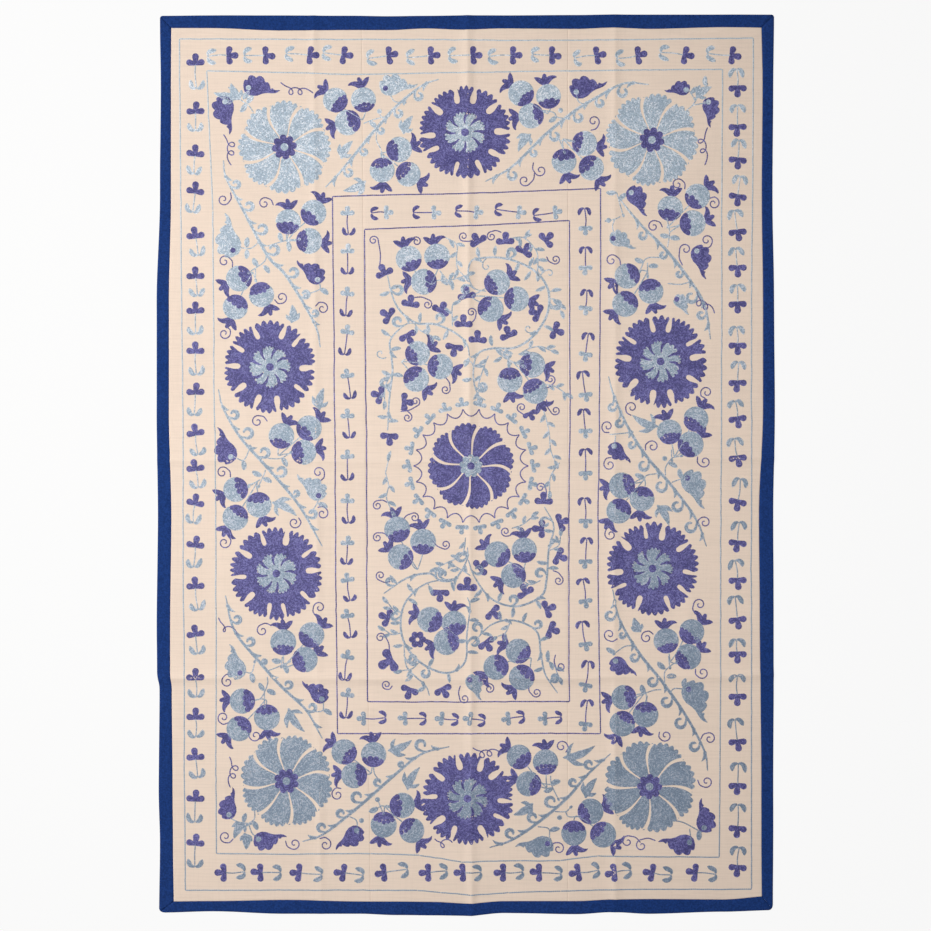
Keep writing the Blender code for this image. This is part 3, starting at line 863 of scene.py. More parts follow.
# Winding vines of the centre: points, the side of their scrolls, how many scrolls and thorns, and widest half width
WindingVine = namedtuple("WindingVine", "points side decorations widest")
WINDING_VINES = [
    WindingVine([(485.6, 290.8), (474.4, 288.4), (468.8, 279.7), (467.7, 271), (469.9, 262.3), (475.5, 258.5),
                 (496.8, 257), (519.1, 262.3), (538.1, 274), (548.2, 292), (545.9, 315.7), (531.4, 336.8),
                 (513.5, 347.4), (491.2, 348), (476.6, 354.2), (472.7, 374), (476.6, 392.7), (485, 400)], 1, 9, 2.6),
    WindingVine([(387, 275), (391.6, 294.6), (400, 310.7), (415.7, 322.5), (434.7, 323.8), (453.7, 331.8),
                 (466, 343), (469, 356)], 1, 4, 2.4),
    WindingVine([(415.7, 322.5), (404.5, 324.4), (390, 339.3), (391, 355.4), (392, 371.6), (388.8, 398.9),
                 (387.2, 430)], -1, 4, 2.2),
    WindingVine([(467, 547), (466.5, 559.4), (454.8, 578), (440, 580), (429, 573), (406.7, 577.4), (383.2, 593)],
                -1, 5, 2.4),
    WindingVine([(458, 577.6), (424.6, 583.6), (403.4, 605.1), (401.7, 636.1), (417.9, 660.3), (444.7, 672.4),
                 (464.3, 661.7), (466.5, 633.4), (469.5, 606.5), (467, 597)], -1, 8, 2.4),
    WindingVine([(467.7, 559.4), (474.4, 577), (491.2, 598.4), (515.8, 605.8), (540.4, 595.7), (546, 579.3),
                 (548.2, 549.4), (553.2, 525.8), (543.7, 506)], 1, 7, 2.4),
    WindingVine([(472.2, 642.8), (491.2, 624), (513.5, 620), (535.9, 630.7), (540.4, 653.6), (544.8, 673.8),
                 (557.1, 692.6)], 1, 5, 2.2),
    WindingVine([(403.4, 644.2), (406.7, 667), (424.6, 684.5), (429, 695.3)], 1, 2, 1.8),
]

# Small flowers of the centre: middle, the way of the long lobe, and size
Clover = namedtuple("Clover", "x y way size")
CLOVERS = [
    Clover(383.8, 272.2, 120, 0.9), Clover(410, 303.3, 80, 0.9), Clover(387.7, 315, 150, 0.9),
    Clover(440.3, 309.5, 60, 0.9), Clover(466, 294.6, 100, 0.9), Clover(463, 323, 90, 0.9),
    Clover(407.3, 335.6, -60, 0.9), Clover(453.7, 347.4, -100, 0.9), Clover(477.7, 240.5, 120, 0.9),
    Clover(504.6, 240.5, 90, 0.9), Clover(523.6, 250.5, 60, 0.9), Clover(546, 239.3, 45, 0.9),
    Clover(537, 312.6, 160, 0.9), Clover(555, 330, -20, 0.9), Clover(508, 334.3, 110, 0.9),
    Clover(477.2, 338.7, 90, 0.9), Clover(379.3, 394.6, 170, 0.9), Clover(404.5, 401.4, 0, 0.9),
    Clover(388.8, 436.2, -90, 0.9), Clover(529.2, 413.8, -60, 0.7), Clover(543.2, 500.4, 90, 0.9),
    Clover(540.4, 528.3, 180, 0.9), Clover(560, 522, 20, 0.9), Clover(558.2, 555.7, -20, 0.9),
    Clover(480, 566.8, 40, 0.9), Clover(466.5, 586.3, 90, 1.0), Clover(439.7, 592.4, -90, 0.9),
    Clover(386.6, 617.3, 160, 0.9), Clover(388.8, 660.3, -150, 1.2), Clover(409, 690, -110, 0.9),
    Clover(442.5, 689.3, -60, 0.9), Clover(524.7, 591.7, 120, 0.9), Clover(492.3, 612, -40, 0.9),
    Clover(547, 608.5, 20, 0.9), Clover(550.4, 629.4, -20, 0.9), Clover(486, 642.8, -60, 0.9),
]

SIX_PETALLED = (417, 639)

# Fronds of the centre, from foot to tip, and the middles of its pale leaves
FRONDS = [
    [(445, 237), (456, 244), (456, 257), (457, 268), (463, 275)], [(488, 355), (484, 365), (478, 384), (478, 396)],
    [(518, 354), (529, 348), (540, 346), (550, 350)], [(543, 384), (552, 385), (558, 388), (565, 393)],
    [(543, 410), (547, 424), (549, 436), (550, 449), (554, 460)], [(385, 472), (388, 485), (386, 497), (391, 510)],
    [(559, 462), (550, 476), (549, 490)], [(465, 537), (464, 547), (460, 556), (449, 561), (437, 567)],
    [(510, 238), (522, 237), (531, 244), (537, 254), (537, 272)], [(491, 348), (501, 350), (508, 359), (518, 364)],
    [(439, 270), (447, 280)], [(436, 280), (452, 279), (466, 275)], [(452, 326), (452, 305), (458, 300)],
    [(511, 528), (522, 524), (531, 517)], [(413, 322), (420, 330), (432, 336)], [(392, 372), (385, 385), (384, 400)],
    [(403, 612), (394, 610), (388, 603)], [(402, 632), (392, 634), (385, 630)], [(420, 660), (412, 668), (402, 670)],
    [(545, 660), (553, 664), (558, 676)], [(510, 621), (505, 632), (497, 636)], [(540, 580), (530, 584), (522, 580)],
    [(470, 575), (462, 570), (455, 566)], [(549, 550), (558, 545), (560, 536)], [(548, 298), (556, 300), (560, 310)],
]
CENTRE_LEAVES = [
    (384, 293), (395, 287), (427, 328), (445, 334), (385, 332), (451, 283), (394, 349), (387, 373), (397, 375),
    (382, 416), (392, 421), (517, 265), (527, 275), (531, 262), (541, 260), (540, 288), (556, 290), (555, 306),
    (519, 241), (518, 354), (497, 359), (466, 379), (420, 317), (527, 234), (495, 250), (491, 340), (389, 456),
    (474, 600), (500, 596), (512, 612), (536, 601), (452, 586), (430, 590), (412, 590), (394, 580), (410, 600),
    (395, 622), (397, 645), (411, 655), (430, 664), (448, 677), (471, 652), (461, 640), (474, 620), (482, 633),
    (500, 617), (524, 618), (540, 640), (548, 660), (540, 668), (551, 680), (421, 688), (410, 676), (553, 568),
    (543, 562), (556, 540), (548, 530), (480, 590), (478, 252), (508, 254), (466, 362), (478, 366), (548, 328),
]

# Tendrils: where they start, the eye that they wind round, and their turn
Tendril = namedtuple("Tendril", "x0 y0 x1 y1 turn")
CENTRE_TENDRILS = [
    Tendril(379, 268, 373, 240, 1), Tendril(405, 249, 416, 241, -1), Tendril(475, 238, 463, 236, -1),
    Tendril(501, 232, 491, 236, 1), Tendril(546, 256, 555, 259, 1), Tendril(414, 297, 427, 304, -1),
    Tendril(470, 323, 471, 312, 1), Tendril(445, 377, 445, 389, -1), Tendril(400, 411, 415, 401, 1),
    Tendril(400, 409, 407, 417, -1), Tendril(543, 388, 550, 379, 1), Tendril(546, 399, 555, 410, 1),
    Tendril(531, 415, 521, 407, -1), Tendril(387, 502, 377, 505, 1), Tendril(402, 520, 414, 517, -1),
    Tendril(388, 536, 377, 537, 1), Tendril(432, 540, 445, 544, 1), Tendril(390, 581, 380, 575, -1),
    Tendril(544, 498, 540, 487, 1), Tendril(513, 531, 505, 531, -1), Tendril(552, 570, 558, 580, -1),
    Tendril(389, 651, 380, 637, 1), Tendril(392, 685, 386, 684, -1), Tendril(460, 685, 464, 698, 1),
    Tendril(482, 684, 489, 688, -1), Tendril(528, 685, 536, 692, 1), Tendril(555, 654, 560, 666, 1),
]
CENTRE_CURLS = [
    Tendril(386, 357, 380, 353, -1), Tendril(486, 258, 486, 266, 1), Tendril(540, 275, 549, 273, -1),
    Tendril(535, 330, 528, 328, -1), Tendril(473, 368, 466, 363, 1),
]
BORDER_TENDRILS = [
    Tendril(230, 192, 223, 199, -1), Tendril(273, 205, 264, 203, 1), Tendril(232, 267, 224, 261, 1),
    Tendril(274, 299, 281, 297, 1), Tendril(315, 306, 322, 308, -1), Tendril(225, 326, 224, 333, -1),
    Tendril(267, 421, 257, 421, 1), Tendril(230, 477, 222, 472, 1), Tendril(227, 535, 224, 542, -1),
    Tendril(319, 481, 318, 472, 1), Tendril(317, 507, 322, 513, -1), Tendril(298, 517, 294, 522, -1),
    Tendril(232, 674, 227, 681, 1), Tendril(271, 625, 262, 630, 1), Tendril(316, 616, 319, 607, -1),
    Tendril(228, 722, 223, 717, -1), Tendril(250, 729, 255, 735, 1), Tendril(233, 838, 225, 836, -1),
    Tendril(285, 840, 294, 843, 1), Tendril(319, 838, 325, 844, -1), Tendril(590, 130, 593, 121, 1),
    Tendril(684, 189, 677, 184, 1), Tendril(709, 198, 713, 203, -1), Tendril(662, 227, 653, 226, 1),
    Tendril(704, 248, 706, 240, 1), Tendril(620, 265, 611, 260, 1), Tendril(631, 415, 631, 407, -1),
    Tendril(705, 398, 706, 392, -1), Tendril(645, 450, 652, 446, -1), Tendril(609, 432, 607, 426, -1),
    Tendril(611, 457, 609, 464, 1), Tendril(697, 456, 704, 461, 1), Tendril(612, 526, 610, 534, 1),
    Tendril(698, 526, 704, 522, -1), Tendril(617, 638, 609, 634, -1), Tendril(653, 634, 646, 637, 1),
    Tendril(695, 614, 699, 604, -1), Tendril(695, 668, 702, 672, 1), Tendril(659, 731, 665, 735, 1),
    Tendril(700, 739, 709, 738, -1), Tendril(697, 779, 706, 781, 1), Tendril(341, 788, 337, 794, 1),
    Tendril(565, 752, 561, 746, 1), Tendril(550, 847, 558, 848, -1), Tendril(533, 162, 540, 170, 1),
    Tendril(534, 172, 524, 180, -1), Tendril(682, 265, 685, 249, -1), Tendril(655, 840, 641, 845, 1),
    Tendril(640, 842, 627, 841, 1),
]

# Rows with small loops on their way
Curly = namedtuple("Curly", "x0 y0 x1 y1 loops side")
CURLIES = [
    Curly(280, 82, 313, 93, 2, -1), Curly(223, 134, 231, 165, 2, 1), Curly(218, 617, 237, 634, 1, -1),
    Curly(229, 756, 230, 787, 2, 1), Curly(707, 127, 704, 165, 2, -1), Curly(696, 291, 714, 313, 2, -1),
    Curly(434, 838, 452, 842, 1, -1), Curly(472, 747, 500, 752, 2, -1),
]

# The scalloped ring round the middle rosette: its arcs, and how far out their cusps and dips lie in millimetres
RING_ARCS = 22
RING_CUSP_RADIUS, RING_DIP_RADIUS = 141.0, 122.0


def millimetres(x, y):
    """A picture pixel in millimetres on the cloth."""
    return at_pixel(x, y) / MM


# Working the thread

ROW_SPACING = 2.7
FIELD_STEP = 1.1
EDGE_ROW = 1.2
FILL_STEP = 2
FILL_INSET = 0.15
THIN_STROKE = 1.7
WEAVE_PITCH = 1.5 * MM
ROOM_LIGHT, WINDOW_LIGHT, CEILING_LIGHT = 0.232, 133.0, 41.0
FILL_LIFT, ROW_LIFT = 0.25 * MM, 0.1 * MM


def level_lines(values, level, origin, step):
    """Points and edges of the lines on which a field of samples passes a level."""
    over = values > level
    ny, nx = values.shape
    flat, upright = over[:, :-1] != over[:, 1:], over[:-1] != over[1:]
    flat_id, upright_id = np.full(flat.shape, -1), np.full(upright.shape, -1)
    flat_id[flat] = np.arange(flat.sum())
    upright_id[upright] = np.arange(upright.sum()) + flat.sum()
    i, j = np.nonzero(flat)
    share = (level - values[i, j]) / (values[i, j + 1] - values[i, j])
    points = [np.stack([j + share, i], -1)]
    i, j = np.nonzero(upright)
    share = (level - values[i, j]) / (values[i + 1, j] - values[i, j])
    points.append(np.stack([j, i + share], -1))
    points = np.vstack(points) * step + origin
    around = np.stack([flat_id[:-1], upright_id[:, 1:], flat_id[1:], upright_id[:, :-1]], -1)
    crossed = (around >= 0).sum(-1)
    pairs = np.sort(around[crossed == 2], -1)[:, 2:]
    saddle = crossed == 4
    middle = (values[:-1, :-1] + values[1:, :-1] + values[:-1, 1:] + values[1:, 1:]) / 4 > level
    same = (middle == over[:-1, :-1])[saddle][:, None]
    four = around[saddle]
    first = np.where(same, four[:, [0, 1]], four[:, [0, 3]])
    second = np.where(same, four[:, [2, 3]], four[:, [1, 2]])
    return points, np.vstack([pairs, first, second])


class Basket:
    """The rows and fillings of one piece of embroidery, in metres on the cloth."""

    def __init__(self):
        self.points, self.edges, self.filling, self.faces = [], [], [], []
        self.count = self.filled = 0

    def add_rows(self, points, edges):
        self.points.append(points)
        self.edges.append(edges + self.count)
        self.count += len(points)

    def add_filling(self, points, faces):
        self.filling.append(points)
        self.faces.append(faces + self.filled)
        self.filled += len(points)


def fill_shape(values, origin):
    """Triangles that cover the inside of a field, as the ground of thread between its rows."""
    step = FIELD_STEP * FILL_STEP
    coarse = values[::FILL_STEP, ::FILL_STEP]
    points, edges = level_lines(coarse, -FILL_INSET, origin, step)
    if len(edges) < 3:
        return None
    i, j = np.nonzero(coarse[::3, ::3] < -2 * step)
    every = np.vstack([points, np.stack([j, i], -1) * (3 * step) + origin])
    made = delaunay_2d_cdt([tuple(p) for p in every], [tuple(map(int, e)) for e in edges], [], 1, 1e-6)
    faces = np.array([f for f in made[2] if len(f) == 3])
    if not len(faces):
        return None
    places = np.array([tuple(p) for p in made[0]])
    cells = np.round((places[faces].mean(1) - origin) / FIELD_STEP).astype(int)
    cells = np.clip(cells, 0, np.array(values.shape[::-1]) - 1)
    return places, faces[values[cells[:, 1], cells[:, 0]] < 0.3]


def work_motif(motif, x, y, baskets, name):
    """Works a motif's patches and rows at a place in millimetres, into the baskets of its threads."""
    later = []
    for thread, shape in reversed(motif.patches):
        low = shape.low - 2
        size = np.ceil((shape.high + 2 - low) / FIELD_STEP).astype(int) + 1
        grid = np.meshgrid(low[0] + FIELD_STEP * np.arange(size[0]), low[1] + FIELD_STEP * np.arange(size[1]))
        places = np.stack([grid[0].ravel(), grid[1].ravel()], -1)
        values = shape.distance(places)
        for above in later:
            if (above.low < shape.high + 3).all() and (above.high > shape.low - 3).all():
                values = np.maximum(values, -above.near(places))
        later.append(shape)
        values = values.reshape(grid[0].shape)
        basket = baskets[name, thread]
        origin = low + (x, y)
        level = EDGE_ROW
        while level < -values.min():
            points, edges = level_lines(values, -level, origin, FIELD_STEP)
            if len(edges):
                basket.add_rows(points * MM, edges)
            level += ROW_SPACING
        filled = fill_shape(values, origin)
        if filled is not None:
            basket.add_filling(filled[0] * MM, filled[1])
    for thread, points in motif.rows:
        points = spaced(points, 2.5)
        edges = np.stack([np.arange(len(points) - 1), np.arange(1, len(points))], -1)
        baskets[name, thread].add_rows((points + (x, y)) * MM, edges)


# Node trees, for materials and for stitches

class Value:
    """An output of a node. Reckoning with it adds Math nodes to its tree."""

    def __init__(self, tree, socket):
        self.tree, self.socket = tree, socket

    def reckon(self, operation, *terms):
        return self.tree.node("ShaderNodeMath", {"operation": operation}, dict(enumerate(terms)))

    def of(self, operation):
        return self.reckon(operation, self)

    def output(self, name):
        return Value(self.tree, self.socket.node.outputs[name])

    def __add__(self, other):
        return self.reckon("ADD", self, other)

    def __sub__(self, other):
        return self.reckon("SUBTRACT", self, other)

    def __rsub__(self, other):
        return self.reckon("SUBTRACT", other, self)

    def __mul__(self, other):
        return self.reckon("MULTIPLY", self, other)

    def __truediv__(self, other):
        return self.reckon("DIVIDE", self, other)

    def __mod__(self, other):
        return self.reckon("FLOORED_MODULO", self, other)

    def __lt__(self, other):
        return self.reckon("LESS_THAN", self, other)

    def __gt__(self, other):
        return self.reckon("GREATER_THAN", self, other)

    __radd__, __rmul__ = __add__, __mul__


class Tree:
    """A node tree that is built by one call for each node."""

    def __init__(self, nodes):
        self.nodes = nodes
        nodes.nodes.clear()

    def node(self, kind, settings=None, sockets=None):
        """Adds a node of a type: first its settings, then the values or links of its sockets."""
        node = self.nodes.nodes.new(kind)
        for name, setting in (settings or {}).items():
            if name == "stops":
                self.set_stops(node.color_ramp, setting)
            else:
                setattr(node, name, setting)
        for key, value in (sockets or {}).items():
            socket = node.inputs[key] if isinstance(key, int) else \
                next(s for s in node.inputs if key in (s.identifier, s.name))
            for one in value if isinstance(value, list) else [value]:
                if isinstance(one, Value):
                    self.nodes.links.new(one.socket, socket)
                else:
                    socket.default_value = one
        shown = [socket for socket in node.outputs if socket.enabled]
        return Value(self, shown[0]) if shown else node

    def set_stops(self, ramp, stops):
        """Colour stops of a ramp, each a place and a colour or a grey."""
        while len(ramp.elements) < len(stops):
            ramp.elements.new(1.0)
        for element, (place, colour) in zip(ramp.elements, stops):
            element.position = place
            element.color = (*colour, 1) if isinstance(colour, tuple) else (colour, colour, colour, 1)

    def mix(self, factor, a, b, blend="MIX"):
        """A colour between two colours."""
        ends = {"A_Color": a if isinstance(a, Value) else (*a, 1), "B_Color": b if isinstance(b, Value) else (*b, 1)}
        return self.node("ShaderNodeMix", {"data_type": "RGBA", "blend_type": blend},
                         {"Factor_Float": factor, **ends})

    def noise(self, place, scale, detail=3.0, stretch=None):
        """Cloudy noise about 0.5, on places in metres."""
        if stretch:
            place = self.node("ShaderNodeMapping", {}, {"Vector": place, "Scale": stretch})
        return self.node("ShaderNodeTexNoise", {}, {"Vector": place, "Scale": scale, "Detail": detail})


# Finishes

FINISHES = {}


def new_finish(name):
    """A material with an empty node tree, and the places on the piece that it reads."""
    material = FINISHES[name] = bpy.data.materials.new(name)
    material.use_nodes = True
    tree = Tree(material.node_tree)
    place = tree.node("ShaderNodeTexCoord").output("Object")
    return material, tree, place


def finish_surface(tree, sockets):
    shader = tree.node("ShaderNodeBsdfPrincipled", {}, sockets)
    tree.node("ShaderNodeOutputMaterial", {}, {"Surface": shader})


def cotton_finish(colours):
    """Hand-woven cream cotton: plain weave, slubs along the weft, faint clouding."""
    material, tree, place = new_finish("ground_cotton")
    cloud = tree.noise(place, 3.5, 4.0)
    slub = tree.noise(place, 1.0, 2.0, (11.0, 260.0, 1.0))
    warp_slub = tree.noise(place, 1.0, 2.0, (260.0, 12.0, 1.0))
    base = tuple(colours.cotton)
    shaded = tree.mix(cloud,
                      tuple(0.955 * c for c in base), tuple(min(1.035 * c, 1) for c in base))
    streak = tree.node("ShaderNodeValToRGB", {"stops": [(0.37, 0.965), (0.5, 1.0), (0.63, 1.018)]}, {0: slub})
    warp_streak = tree.node("ShaderNodeValToRGB", {"stops": [(0.37, 0.98), (0.5, 1.0)]}, {0: warp_slub})
    colour = tree.mix(1.0, tree.mix(1.0, shaded, streak, "MULTIPLY"), warp_streak, "MULTIPLY")
    apart = tree.node("ShaderNodeSeparateXYZ", {}, {0: place})
    across = (apart.output("X") * (2 * pi / WEAVE_PITCH)).of("SINE")
    along = (apart.output("Y") * (2 * pi / WEAVE_PITCH)).of("SINE")
    height = across * along * 0.5 + slub * 1.2 + warp_slub * 0.5
    relief = tree.node("ShaderNodeBump", {}, {"Strength": 0.35, "Distance": 0.0006, "Height": height})
    finish_surface(tree, {"Base Color": colour, "Roughness": 0.86, "Normal": relief, "Sheen Weight": 0.05,
                          "Sheen Roughness": 0.5, "IOR": 1.4})
    return material


def binding_finish(colours):
    """Deep blue plain cotton strip, a little faded in soft clouds."""
    material, tree, place = new_finish("binding_cotton")
    cloud = tree.noise(place, 9.0, 5.0)
    weave = tree.noise(place, 260.0, 3.0)
    base = tuple(colours.binding)
    faded = tuple(0.93 * c + 0.07 * d for c, d in zip(base, (0.05, 0.10, 0.30)))
    tone = tree.node("ShaderNodeValToRGB", {"stops": [(0.3, 0.0), (0.75, 1.0)]}, {0: cloud})
    colour = tree.mix(tone, base, faded)
    speckle = tree.node("ShaderNodeValToRGB", {"stops": [(0.35, 0.7), (0.65, 1.16)]}, {0: weave})
    colour = tree.mix(1.0, colour, speckle, "MULTIPLY")
    relief = tree.node("ShaderNodeBump", {}, {"Strength": 0.4, "Distance": 0.0008, "Height": weave + cloud * 2.0})
    finish_surface(tree, {"Base Color": colour, "Roughness": 0.82, "Normal": relief, "Specular IOR Level": 0.05})
    return material


def silk_finish(name, colour, deep, bright, sheen_shade_tint=(1, 1, 1)):
    """Embroidery silk, mottled from stitch to stitch, the mottle partly painted sheen; towards the foot and the right
    side of the cloth it is darkened by a tint, painted shade for the sheen that fades away from the light at the upper
    left.
    """
    material, tree, place = new_finish(name)
    fleck = tree.node("ShaderNodeAttribute", {"attribute_name": "fleck"}).output("Fac")
    patchy = tree.noise(place, 26.0, 3.0)
    fine = tree.noise(place, 330.0, 2.0)
    # The filling carries no fleck and reads 0, so it comes out darker than the rows: painted shade in the gaps between
    # them.
    tone = fleck * 0.25 + fine * 0.75 + (patchy - 0.5) * 0.3
    # The mottle is partly the silk's own uneven tone and partly painted sheen of stitches that catch the light in
    # different ways.
    mottled = tree.node("ShaderNodeValToRGB", {"stops": [(0.36, deep), (0.5, tuple(colour)), (0.66, bright)]}, {0: tone})
    speck = tree.node("ShaderNodeValToRGB", {"stops": [(0.55, 1.0), (0.65, 0.6)]}, {0: tree.noise(place, 480.0, 1.0)})
    mottled = tree.mix(1.0, mottled, speck, "MULTIPLY")
    apart = tree.node("ShaderNodeSeparateXYZ", {}, {0: place})
    # Painted shade: the silk darkens towards the foot and the right side of the cloth, standing in for the sheen that
    # fades away from the light at the upper left.
    sheen_shade_share = 0.45 - apart.output("Y") * 0.45 + apart.output("X") * 0.2 + (tree.noise(place, 2.0) - 0.5) * 0.5
    mottled = tree.mix(sheen_shade_share, mottled, tree.mix(1.0, mottled, sheen_shade_tint, "MULTIPLY"))
    ply = tree.noise(place, 900.0, 1.0)
    relief = tree.node("ShaderNodeBump", {}, {"Strength": 0.3, "Distance": 0.0004, "Height": ply})
    finish_surface(tree, {"Base Color": mottled, "Roughness": 0.5, "Normal": relief, "Sheen Weight": 0.1,
                          "Sheen Roughness": 0.35, "Sheen Tint": (*bright, 1.0)})
    return material


# Chain stitch

def chain_stitch_tree():
    """Works each loose edge line of a mesh as a row of chain stitch, and keeps its faces as the filling."""
    group = bpy.data.node_groups.new("Chain stitch rows", "GeometryNodeTree")
    tree = Tree(group)
    for name, kind, default in (("Geometry", "NodeSocketGeometry", None), ("Thread", "NodeSocketMaterial", None),
                                ("Stitch length", "NodeSocketFloat", 5 * MM), ("Row width", "NodeSocketFloat", 3 * MM),
                                ("Row height", "NodeSocketFloat", 0.9 * MM), ("Shortest row", "NodeSocketFloat", 6 * MM),
                                ("Seed", "NodeSocketInt", 0)):
        item = group.interface.new_socket(name, in_out="INPUT", socket_type=kind)
        if default is not None:
            item.default_value = default
    group.interface.new_socket("Geometry", in_out="OUTPUT", socket_type="NodeSocketGeometry")
    given = tree.node("NodeGroupInput")
    loose = tree.node("GeometryNodeInputMeshEdgeNeighbors") < 0.5
    filling = tree.node("GeometryNodeDeleteGeometry", {"domain": "EDGE"},
                        {"Geometry": given.output("Geometry"), "Selection": loose})
    lines = tree.node("GeometryNodeMeshToCurve", {}, {"Mesh": given.output("Geometry"), "Selection": loose})
    too_short = tree.node("GeometryNodeSplineLength") < given.output("Shortest row")
    lines = tree.node("GeometryNodeDeleteGeometry", {"domain": "CURVE"}, {"Geometry": lines, "Selection": too_short})
    lines = tree.node("GeometryNodeResampleCurve", {"mode": "LENGTH"},
                      {"Curve": lines, "Length": given.output("Stitch length") * 0.5})
    lines = tree.node("GeometryNodeSetCurveNormal", {"mode": "Z_UP"}, {"Curve": lines})
    link = (tree.node("GeometryNodeInputIndex") * 0.5).of("FLOOR")
    chance = tree.node("FunctionNodeRandomValue", {"data_type": "FLOAT"}, {"ID": link, "Seed": given.output("Seed")})
    # Each link gets a random fleck. The filling gets none, reads 0 and so comes out darker in the silk finishes:
    # painted shade between the rows.
    lines = tree.node("GeometryNodeStoreNamedAttribute", {"domain": "POINT", "data_type": "FLOAT"},
                      {"Geometry": lines, "Name": "fleck", "Value": chance})
    swell = tree.node("GeometryNodeSplineParameter").output("Index") % 2
    ending = tree.node("GeometryNodeCurveEndpointSelection") * (1 - tree.node("GeometryNodeInputSplineCyclic"))
    scale = (swell * 0.3 + 0.82) * (1 - ending * 0.6)
    arch = tree.node("GeometryNodeCurveArc", {"mode": "RADIUS"}, {"Resolution": 3, "Radius": 1.0, "Sweep Angle": pi})
    sizes = tree.node("ShaderNodeCombineXYZ", {}, {0: given.output("Row width") * 0.5,
                                                   1: given.output("Row height") * -1.0, 2: 1.0})
    arch = tree.node("GeometryNodeTransform", {}, {"Geometry": arch, "Scale": sizes})
    rows = tree.node("GeometryNodeCurveToMesh", {}, {"Curve": lines, "Profile Curve": arch, "Scale": scale})
    both = tree.node("GeometryNodeJoinGeometry", {}, {"Geometry": [filling, rows]})
    both = tree.node("GeometryNodeSetShadeSmooth", {}, {"Geometry": both, "Shade Smooth": True})
    both = tree.node("GeometryNodeRealizeInstances", {}, {"Geometry": both})
    both = tree.node("GeometryNodeSetMaterial", {}, {"Geometry": both, "Material": given.output("Thread")})
    tree.node("NodeGroupOutput", {}, {"Geometry": both})
    return group


def socket_identifiers(group):
    return {item.name: item.identifier for item in group.interface.items_tree
            if item.item_type == "SOCKET" and item.in_out == "INPUT"}


def flat_unwrap(mesh, places):
    """A flat unwrapping named OFBake: the piece seen from above, filling the square."""
    low, high = places.min(0)[:2], places.max(0)[:2]
    corners = np.empty(len(mesh.loops), dtype=np.int32)
    mesh.loops.foreach_get("vertex_index", corners)
    unwrapped = (places[corners, :2] - low) / np.maximum(high - low, 1e-6) * 0.98 + 0.01
    layer = mesh.uv_layers.new(name="OFBake")
    layer.data.foreach_set("uv", unwrapped.ravel().astype(np.float32))


def stitch_piece(name, basket, thread, sizes, seed):
    """Makes one piece of embroidery from a basket of rows and fillings."""
    filling, rows = np.vstack(basket.filling or [np.empty((0, 2))]), np.vstack(basket.points or [np.empty((0, 2))])
    places = np.vstack([filling, rows])
    heights = face_height(places) + np.where(np.arange(len(places)) < len(filling), FILL_LIFT, ROW_LIFT)
    faces = np.vstack(basket.faces) if basket.faces else np.empty((0, 3), int)
    edges = (np.vstack(basket.edges) if basket.edges else np.empty((0, 2), int)) + len(filling)
    mesh = bpy.data.meshes.new(name)
    mesh.from_pydata(np.column_stack([places, heights]).tolist(), edges.tolist(), faces.tolist())
    piece = bpy.data.objects.new(name, mesh)
    bpy.context.scene.collection.objects.link(piece)
    group = bpy.data.node_groups.get("Chain stitch rows") or chain_stitch_tree()
    modifier = piece.modifiers.new("Stitches", "NODES")
    modifier.node_group = group
    sockets = socket_identifiers(group)
    finish = "pale_blue_line" if name.startswith("line") and thread == BLUE else thread + "_thread"
    for key, value in (("Thread", FINISHES[finish]), ("Stitch length", sizes.stitch_length),
                       ("Row width", sizes.row_width), ("Row height", sizes.row_height),
                       ("Shortest row", sizes.shortest_row), ("Seed", seed)):
        modifier[sockets[key]] = value
    graph = bpy.context.evaluated_depsgraph_get()
    worked = bpy.data.meshes.new_from_object(piece.evaluated_get(graph), preserve_all_data_layers=True, depsgraph=graph)
    piece.modifiers.remove(modifier)
    piece.data = worked
    bpy.data.meshes.remove(mesh)
    worked.name = name
    made = np.empty(len(worked.vertices) * 3)
    worked.vertices.foreach_get("co", made)
    flat_unwrap(worked, made.reshape(-1, 3))
    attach(piece, "root")
    return piece


def stitch_all(baskets):
    """Makes every piece in a set of baskets."""
    sizes = bpy.context.scene.suzani_sizes
    for seed, ((name, thread), basket) in enumerate(sorted(baskets.items())):
        if basket.points or basket.filling:
            stitch_piece(f"{name}_{thread}", basket, thread, sizes, seed + len(name))
            EMBROIDERY.append(f"{name}_{thread}")


# Cloth

def places_with_marks(start, end, step, marks, fine, reach):
    """Places from start to end, closer together within a reach of each mark."""
    coarse = np.linspace(start, end, int(ceil((end - start) / step)) + 1)
    near = [mark + offset for mark in marks for offset in np.arange(-reach, reach + fine / 2, fine)]
    kept = [place for place in near if start + fine < place < end - fine]
    coarse = [place for place in coarse
              if place in (start, end) or all(abs(place - other) > 0.7 * fine for other in kept)]
    return np.array(sorted(set(coarse) | set(kept)))


def closed_sheet(name, x, y, top, bottom):
    """A closed sheet of cloth over a grid of places."""
    nu, nv = x.shape
    index = np.arange(nu * nv).reshape(nu, nv)
    corners = np.stack([index[:-1, :-1], index[1:, :-1], index[1:, 1:], index[:-1, 1:]], -1).reshape(-1, 4)
    faces = [corners, corners[:, ::-1] + nu * nv]
    for rim, way in ((index[:, 0], 1), (index[:, -1], -1), (index[0], -1), (index[-1], 1)):
        wall = np.stack([rim[:-1] + nu * nv, rim[1:] + nu * nv, rim[1:], rim[:-1]], -1)
        faces.append(wall[:, ::way])
    places = np.vstack([np.stack([x.ravel(), y.ravel(), z.ravel()], -1) for z in (top, bottom)])
    mesh = bpy.data.meshes.new(name)
    mesh.from_pydata(places.tolist(), [], np.vstack(faces).tolist())
    mesh.shade_smooth()
    flat_unwrap(mesh, places)
    piece = bpy.data.objects.new(name, mesh)
    bpy.context.scene.collection.objects.link(piece)
    return piece


def finish_cloth(piece, slot_name, node):
    piece.data.materials.append(FINISHES[slot_name])
    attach(piece, "root")
    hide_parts(node)


def seam_dip(distance):
    """How far the face of the cloth dips towards a seam."""
    return 0.55 * MM * np.clip(1 - distance / (2.4 * MM), 0, 1) ** 2


